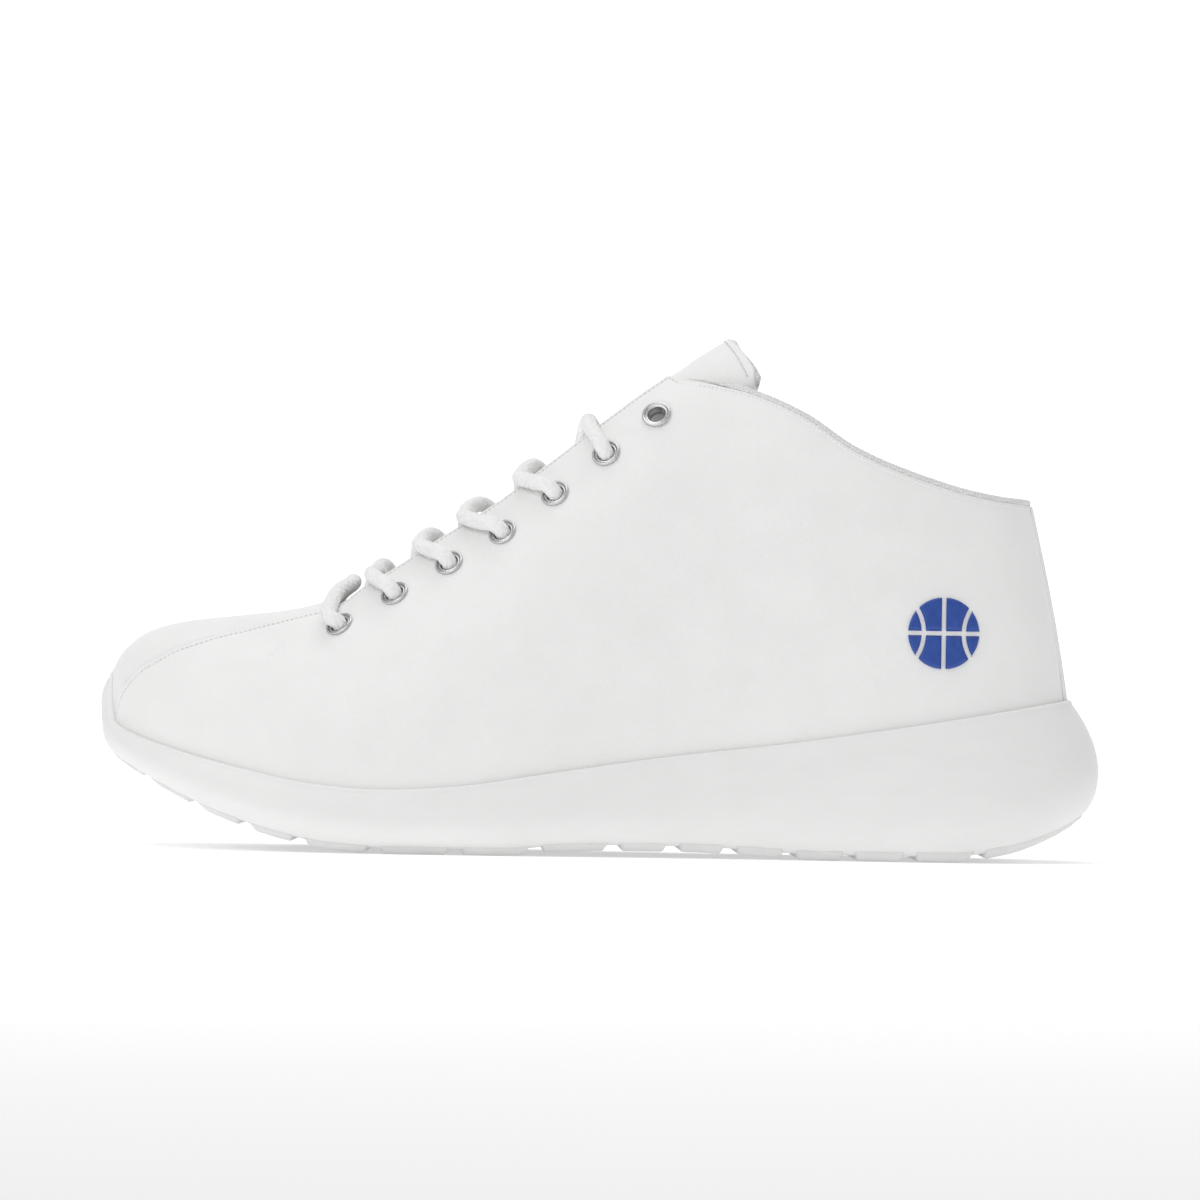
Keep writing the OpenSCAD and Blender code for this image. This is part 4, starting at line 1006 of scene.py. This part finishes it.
TONGUE_START_X, TONGUE_TIP_X, TONGUE_CORNER_X = -84, 31, 7.4
TONGUE_HALF_W = [[[-84, 12], [-66, 22], [-20, 25], [10, 24], [50, 20]],
                 [[-84, 12], [-66, 20], [-20, 20], [10, 19], [50, 17.5]]]
TONGUE_DEPTH = [[-84, 3.8], [-76, 8.3], [3, 8.3], [17, 4.4], [50, 4.6]]
TONGUE_T = 2 * TONGUE_COVER_T + TONGUE_FOAM_T + 0.1


def tongue_points(f, across, wide, d):
    """Points of the tongue at shares f of its length and across its width; wide adds to its half width."""
    end_x = TONGUE_TIP_X + TONGUE_CORNER_X * np.abs(np.clip(across, -1, 1)) ** 1.7
    x = mix(TONGUE_START_X, end_x, f)
    half = np.where(across > 0, curve(TONGUE_HALF_W[1], x), curve(TONGUE_HALF_W[0], x))
    side = across * half + np.sign(across) * wide
    return under(x, side, curve(TONGUE_DEPTH, x) + d)


def tongue_skin(inset, lower):
    """Half of the tongue's rounded envelope: its face, or its back with lower."""
    r = TONGUE_T / 2
    arc = np.linspace(PI / 2, 0, 9)[:-1]
    flat = np.linspace(-1, 1, 61)
    across = np.concatenate([np.full(8, -1.0), flat, np.full(8, 1.0)])
    out, down = (r - inset) * np.sin(arc) - 0.9, r - (r - inset) * np.cos(arc)
    wide = np.concatenate([out, -0.9 * np.abs(flat), out[::-1]])
    depth = np.concatenate([down, np.full(61, inset), down[::-1]])
    if lower:
        depth = TONGUE_T - depth
    f = np.concatenate([np.linspace(0, 0.9, 90)[:-1], np.linspace(0.9, 1.02, 26)])
    f, a = np.meshgrid(f, across, indexing="ij")
    return tongue_points(f, a, wide[None], depth[None]), f, a


def tongue():
    r = TONGUE_T / 2
    for name, lower, node, slot in (("tongue_face", False, "tongue_cover", "upper_leather"),
                                    ("tongue_back", True, "tongue_lining", "lining_knit")):
        outer, f, a = tongue_skin(0.0, lower)
        inner, _, _ = tongue_skin(TONGUE_COVER_T, lower)
        n = unit(outer - inner)
        swell = 0.25 * (1 - a ** 2) * np.sin(PI * np.clip(f, 0, 1))
        swell = swell + 0.16 * noise(outer, 16, 9) + 0.05 * noise(outer, 5, 10)
        outer = outer + n * (swell * ease(0, 0.08, f))[..., None]
        sheet(name, outer, inner, slot, body="tongue", stands_for=[node])
    # The foam between them, a little inside its covers
    across = np.linspace(-1, 1, 40)
    f, a = np.meshgrid(np.linspace(0.01, 0.985, 70), across, indexing="ij")
    crown = 1 - 0.7 * np.abs(a) ** 8
    top = tongue_points(f, a, -0.8, r - (r - 0.9) * crown)
    low = tongue_points(f, a, -0.8, r + (r - 0.9) * crown)
    foam = sheet("tongue_padding", top, low, "padding_foam", body="tongue", stands_for=["tongue_foam"])
    # The bound top edge
    a = np.linspace(-1, 1, 60)
    mid, back = (tongue_points(np.full(60, f), a, 0.0, r) for f in (1.0, 0.96))
    t = unit(np.gradient(mid, axis=0))
    forward = mid - back
    forward = unit(forward - t * np.sum(forward * t, axis=1)[:, None])
    edge, _ = even_line(smooth_line(mid + forward * (TONGUE_BINDING_R + 0.1), 4), 0.3)
    rope("tongue_tape", edge, TONGUE_BINDING_R, 26, "edge_binding", plait(0.34, 9, 1.5), body="tongue",
         stands_for=["tongue_binding"])
    # Stitches that hold the tape
    a = np.linspace(-0.96, 0.96, 120)
    line, inner = (tongue_points(np.full(120, 1.011), a, 0.0, depth) for depth in (-0.12, 1.0))
    stitches("tongue_stitches", [(line, unit(line - inner))], body="tongue", pitch=1.4, length=1.0)


tongue()

# ---- Eyelets ----

EYELET_PROFILE = [
    (2.6, -2.95), (2.6, -1.5), (2.6, 0.2), (2.63, 0.5), (2.75, 0.72), (2.95, 0.8), (3.12, 0.74), (3.24, 0.68),
    (3.36, 0.8), (3.52, 1.06), (3.75, 1.24), (4.0, 1.25), (4.2, 1.1), (4.3, 0.85), (4.27, 0.62), (4.15, 0.5),
    (3.6, 0.5), (3.0, 0.5), (3.0, -1.5), (3.0, -2.95)]


def eyelets():
    for medial, side in enumerate(SIDES):
        places = [(eyelet_point(i, medial), eyelet_normal(i, medial)) for i in range(EYELET_ROWS)]
        lathe(EYELET_PROFILE, 64, places, f"eyelet_rings_{side}", "nickel", stands_for=[f"eyelets_{side}"])


eyelets()

# ---- Badge: a ball in eight raised pieces ----

BADGE_X, BADGE_Z, BADGE_GAP = 100, 67, 1.3


def badge():
    r, half = BADGE_D / 2, BADGE_GAP / 2
    seam_r, seam_c = BADGE_D * 0.62, BADGE_D * 0.9

    def edge(k, y):
        if k == 0:
            return np.full_like(y, half)
        if k == 3:
            return np.sqrt(np.clip(r * r - y * y, 0, None))
        return seam_c - np.sqrt((seam_r + (half if k == 1 else -half)) ** 2 - y * y)

    points, faces, start, n = [], [], 0, 22
    for k in (0, 1):
        y = mix(half, r * (0.985 if k == 0 else 0.63), np.linspace(0, 1, n) ** 0.8)
        x0, x1 = edge(2 * k, y), np.minimum(edge(2 * k + 1, y), edge(3, y))
        j = (1 - np.cos(PI * np.linspace(0, 1, n))) / 2
        gx = x0[:, None] + (x1 - x0)[:, None] * j
        gy = np.repeat(y[:, None], n, axis=1)
        inside = np.minimum(np.minimum(gx - x0[:, None], x1[:, None] - gx),
                            np.minimum(gy - y[0], r - np.hypot(gx, gy)))
        h = BADGE_T * np.sqrt(np.clip(1 - (1 - np.clip(inside / 1.1, 0, 1)) ** 2, 0, 1))
        for sx in (-1, 1):
            for sy in (-1, 1):
                top, low = (side_point(BADGE_X + sx * gx, BADGE_Z + sy * gy, depth)
                            for depth in (-0.12 - h, np.full_like(h, 0.1)))
                f = sheet_faces(n, n, start)[0]
                points += [top.reshape(-1, 3), low.reshape(-1, 3)]
                faces.append(f if sx * sy > 0 else f[:, ::-1])
                start += 2 * n * n
    make_piece("badge_ball", np.concatenate(points), [np.concatenate(faces)], "badge_rubber",
               stands_for=["badge"])


badge()

# ---- Sole ----


def near_tip(u, width):
    """1 at the tip of the toe, falling away over that width."""
    return bell(np.linalg.norm(outline(u) - outline(0.0), axis=-1), 0, width)


def lip_height(u):
    return curve(LIP, along(u)) + TOE_PEAK * near_tip(u, TOE_PEAK_W)


def wall_base(u):
    """The outline's points and outward directions, how far out the sole's wall is at its widest place and at
    its foot, and the heights of the foot and of the widest place."""
    x = along(u)
    p, out = outline(u), outward(u)
    e = curve(BULGE, x)
    tucked = e - curve(TUCK, x)
    zb = curve(TREAD, p[..., 0] + out[..., 0] * tucked) + TREAD_DEPTH
    return p, out, e, tucked, zb, mix(zb, lip_height(u), curve(BULGE_AT, x))


def midsole():
    lateral = np.concatenate([[0.0], even_us(0.02, HEEL_AT - 0.02, 330), [HEEL_AT]])
    us = np.concatenate([lateral, (TURNS - lateral[1:-1])[::-1]])
    m = len(us)
    s = section(us, -0.1)
    zj = lip_height(us)
    a = angle_at_height(s, zj - 0.9)
    p, out, e, tucked, zb, zc = wall_base(us)
    width = LIP_W * (1 + 0.45 * near_tip(us, 26)) - 2.2 * near_tip(us, TOE_PEAK_W)
    lip_o = np.sum((on_section(s, a)[:, :2] - p) * out, axis=1) + width
    zl = zj - 1.25

    def wall(o, z):
        return np.concatenate([p + out * np.asarray(o)[:, None], np.asarray(z)[:, None]], axis=1)
    rows = []
    for i in range(9):
        q = on_section(s, a * i / 8)
        if i == 0:
            q[:, 2] -= BOARD_T + 0.15
        rows.append(q)
    # The lip lies against the leather, which leans back at the toe
    pressed = section(us, 0.25)
    for t in np.radians([165, 140, 115, 90, 60, 35, 15]):
        z = zj - 0.95 + 0.95 * np.sin(t)
        face = np.sum((on_section(pressed, angle_at_height(pressed, z))[:, :2] - p) * out, axis=1)
        rows.append(wall(mix(face, lip_o, (1 + np.cos(t)) / 2), z))
    for i in range(20, -1, -1):
        f = i / 20
        rows.append(wall(e - (e - lip_o) * f * f, mix(zc, zl, f)))
    for i in range(10, -1, -1):
        t = PI / 2 * i / 11
        rows.append(wall(tucked + (e - tucked) * np.sin(t), zb + (zc - zb) * (1 - np.cos(t))))
    grid = np.stack(rows, axis=1)
    side_wall = grid[:, 17:]
    uneven = 0.06 * noise(side_wall, 24, 11) + 0.02 * noise(side_wall, 5, 12)
    side_wall += np.concatenate([out, np.zeros((m, 1))], 1)[:, None] * uneven[..., None]
    n_rows = grid.shape[1]
    faces = [grid_faces(m, n_rows, wrap_rows=True)]
    points = [grid.reshape(-1, 3)]
    start = m * n_rows
    half = len(lateral)
    mirror = (m - np.arange(half)) % m
    shares = np.linspace(0, 1, 9)[1:-1]
    for column, sign in ((0, 1), (n_rows - 1, -1)):
        a0, b0 = grid[np.arange(half), column], grid[mirror, column]
        inner = a0[:, None] + (b0 - a0)[:, None] * shares[None, :, None]
        inner[..., 2] = curve(TREAD, inner[..., 0]) + TREAD_DEPTH if sign < 0 else a0[:, None, 2] - 0.2
        inner[0], inner[-1] = a0[0], a0[-1]
        ids = np.full((half, 9), -1)
        ids[:, 0] = np.arange(half) * n_rows + column
        ids[:, -1] = mirror * n_rows + column
        body = start + np.arange((half - 2) * 7).reshape(half - 2, 7)
        ids[1:-1, 1:-1] = body
        points.append(inner[1:-1].reshape(-1, 3))
        start += (half - 2) * 7
        q = quads(ids[1:-1])
        tip = np.stack([np.full(8, ids[0, 0]), ids[1, :-1], ids[1, 1:]], -1)
        tail = np.stack([ids[-2, :-1], np.full(8, ids[-1, 0]), ids[-2, 1:]], -1)
        if sign > 0:
            q, tip, tail = q[:, ::-1], tip[:, ::-1], tail[:, ::-1]
        faces += [q, np.concatenate([tip, tail])]
    make_piece("midsole_foam", np.concatenate(points), faces, "eva_foam", stands_for=["midsole"])


midsole()

GROOVE_XS = [-146, -133.3, -118.1, -102.4, -86.3, -64.2, -40.8, -17.9, 4.5, 21.4, 37.9, 55, 72.4, 90.4,
             110.8, 143.5]
POD_SPLITS = [(0, 0.3), (0.345, 0.655), (0.7, 1)]
WRAP, WRAP_L = math.radians(24), 6     # the part of a pod that goes up the wall: its angle and length


def bottom_point(u, f, grow):
    """A point of the sole's underside: f runs from the outer side's wrap (-1) to the inner side's (2)."""
    def at(v, angle, g):
        p, out, e, tucked, zb, zc = wall_base(v)
        fade = 1 - angle / (WRAP + math.radians(6))
        reach = tucked + (e - tucked) * np.sin(angle) + g * np.sin(angle) * fade
        return np.concatenate([p + out * reach[..., None],
                               (zb + (zc - zb) * (1 - np.cos(angle)) - g * fade)[..., None]], -1)
    zero = np.zeros_like(f)
    a, b = at(u, zero, grow), at(TURNS - u, zero, grow)
    q = a + (b - a) * np.clip(f, 0, 1)[..., None]
    q[..., 2] = curve(TREAD, q[..., 0]) + TREAD_DEPTH - grow
    left = at(u, WRAP * np.clip(-f, 0, 1), grow)
    right = at(TURNS - u, WRAP * np.clip(f - 1, 0, 1), grow)
    return np.where((f <= 0)[..., None], left, np.where((f >= 1)[..., None], right, q))


def pods(name, node, first, last):
    points, faces, start = [], [], 0
    # Height profile towards the pod's border: inset in millimetres and share of the tread's depth
    inset = np.array([0, 0.35, 0.7, 0.95, 1.2, 1.6])
    height = np.array([0.0, 0.45, 0.82, 0.95, 1.0, 1.0])
    for i in range(first, last + 1):
        x0, x1 = GROOVE_XS[i] + GROOVE_W / 2 - 0.7, GROOVE_XS[i + 1] - GROOVE_W / 2 + 0.7
        length = x1 - x0
        at_x = np.concatenate([inset, np.linspace(1.6, length - 1.6, 9)[1:-1], length - inset[::-1]])
        share_x = np.interp(np.minimum(at_x, length - at_x), inset, height)
        for f0, f1 in POD_SPLITS:
            low, high = (-1 if f0 == 0 else f0), (2 if f1 == 1 else f1)
            mid_u = u_at((x0 + x1) / 2)
            width = float(np.linalg.norm(outline(mid_u, 5) - outline(TURNS - mid_u, 5)))
            total = (f1 - f0) * width + (WRAP_L if f0 == 0 or f1 == 1 else 0)

            def to_f(mm):
                if f0 == 0:
                    return np.where(mm < WRAP_L, -1 + mm / WRAP_L, (mm - WRAP_L) / width)
                if f1 == 1:
                    return np.where(mm > total - WRAP_L, 1 + (mm - total + WRAP_L) / WRAP_L, f0 + mm / width)
                return f0 + mm / width
            at_y = np.concatenate([inset, np.linspace(1.6, total - 1.6, 13)[1:-1], total - inset[::-1]])
            share_y = np.interp(np.minimum(at_y, total - at_y), inset, height)
            f = np.clip(to_f(at_y), low, high)
            us = u_at(x0 + at_x)
            uu, ff = np.meshgrid(us, f, indexing="ij")
            share = np.minimum(share_x[:, None], share_y[None, :])
            groove = 0.25 * bell(at_y[None, :], total / 2, 0.5) * (share >= 1)
            top = bottom_point(uu, ff, 0.1 + (TREAD_DEPTH - 0.1) * share - groove)
            base = bottom_point(uu, ff, np.full_like(share, -0.4))
            rows, cols = top.shape[:2]
            points += [top.reshape(-1, 3), base.reshape(-1, 3)]
            faces += sheet_faces(rows, cols, start)
            start += 2 * rows * cols
    make_piece(name, np.concatenate(points), [np.concatenate(faces)], "tread_rubber", stands_for=[node])


pods("tread_pods_forefoot", "outsole_forefoot", 0, 5)
pods("tread_pods_midfoot", "outsole_midfoot", 6, 10)
pods("tread_pods_heel", "outsole_heel", 11, 14)


def insole():
    us = even_us(0.05, HEEL_AT - 0.05, 160)
    shares = np.linspace(0, 1, 41)

    def layer(lift):
        a, b = outline(us, INSOLE_IN), outline(TURNS - us, INSOLE_IN)
        q = a[:, None] + (b - a)[:, None] * shares[None, :, None]
        z = curve(BED, along(us, INSOLE_IN))[:, None] + lift(2 * shares - 1)[None]
        return np.concatenate([q, z[..., None]], -1)
    top = layer(lambda f: SOCKLINER_T * (0.86 + 0.14 * f * f - 0.12 * np.abs(f) ** 24))
    top[..., 2] += 0.15 * noise(top, 18, 13)
    low = layer(lambda f: 0.1 + 0 * f)
    sheet("sockliner_pad", top, low, "lining_knit", stands_for=["sockliner"])


insole()

# ---- CAD nodes that stay: their materials ----

for row in frame["record"]["subparts"]:
    node = frame["nodes"][row["node"]]
    for slot in node.material_slots:
        slot.material = MAT[row["material_slot"]]

# ---- Stage, lights ----


def stage():
    size = 12.0
    for name, points in (
            ("floor", [(-size, -size, 0), (size, -size, 0), (size, size, 0), (-size, size, 0)]),
            ("backdrop", [(-1.8, 3, -1), (1.8, 3, -1), (1.8, 3, 2.4), (-1.8, 3, 2.4)])):
        mesh = bpy.data.meshes.new(name)
        mesh.from_pydata(points, [], [(0, 1, 2, 3)])
        n = Nodes(name + "_paper")
        n.colour(n.noise(900, 2), (0.93, 0.93, 0.93), (0.95, 0.95, 0.95))
        n.set(Roughness=0.9, Specular_IOR_Level=0.0, Emission_Color=(1, 1, 1, 1),
              Emission_Strength=0.26 if name == "floor" else 0.5)
        mesh.materials.append(n.material)
        plane = bpy.data.objects.new(name, mesh)
        bpy.context.scene.collection.objects.link(plane)


def area_light(name, place, target, size, power):
    data = bpy.data.lights.new(name, "AREA")
    data.shape = "RECTANGLE"
    data.size, data.size_y = size
    data.energy = power
    light = bpy.data.objects.new(name, data)
    place, target = np.array(place, float), np.array(target, float)
    z = unit(place - target)
    x = unit(np.cross([0, 0, 1] if abs(z[2]) < 0.99 else [0, 1, 0], z))
    y = np.cross(z, x)
    light.matrix_world = Matrix(((x[0], y[0], z[0], place[0]), (x[1], y[1], z[1], place[1]),
                                 (x[2], y[2], z[2], place[2]), (0, 0, 0, 1)))
    bpy.context.scene.collection.objects.link(light)


stage()
area_light("key_light", (-0.6, -0.7, 0.9), (-0.08, 0, 0.06), (0.7, 0.6), 2.8)
area_light("top_light", (0.1, 0.2, 2.2), (0, 0, 0), (2.0, 1.6), 16.5)
area_light("toe_light", (-1.8, -0.6, 1.4), (0, 0, 0.08), (1.0, 0.8), 1)
world = bpy.data.worlds.new("world")
world.use_nodes = True
world.node_tree.nodes["Background"].inputs["Color"].default_value = (1, 1, 1, 1)
world.node_tree.nodes["Background"].inputs["Strength"].default_value = 0.5
bpy.context.scene.world = world
bpy.context.scene.view_settings.view_transform = "Standard"
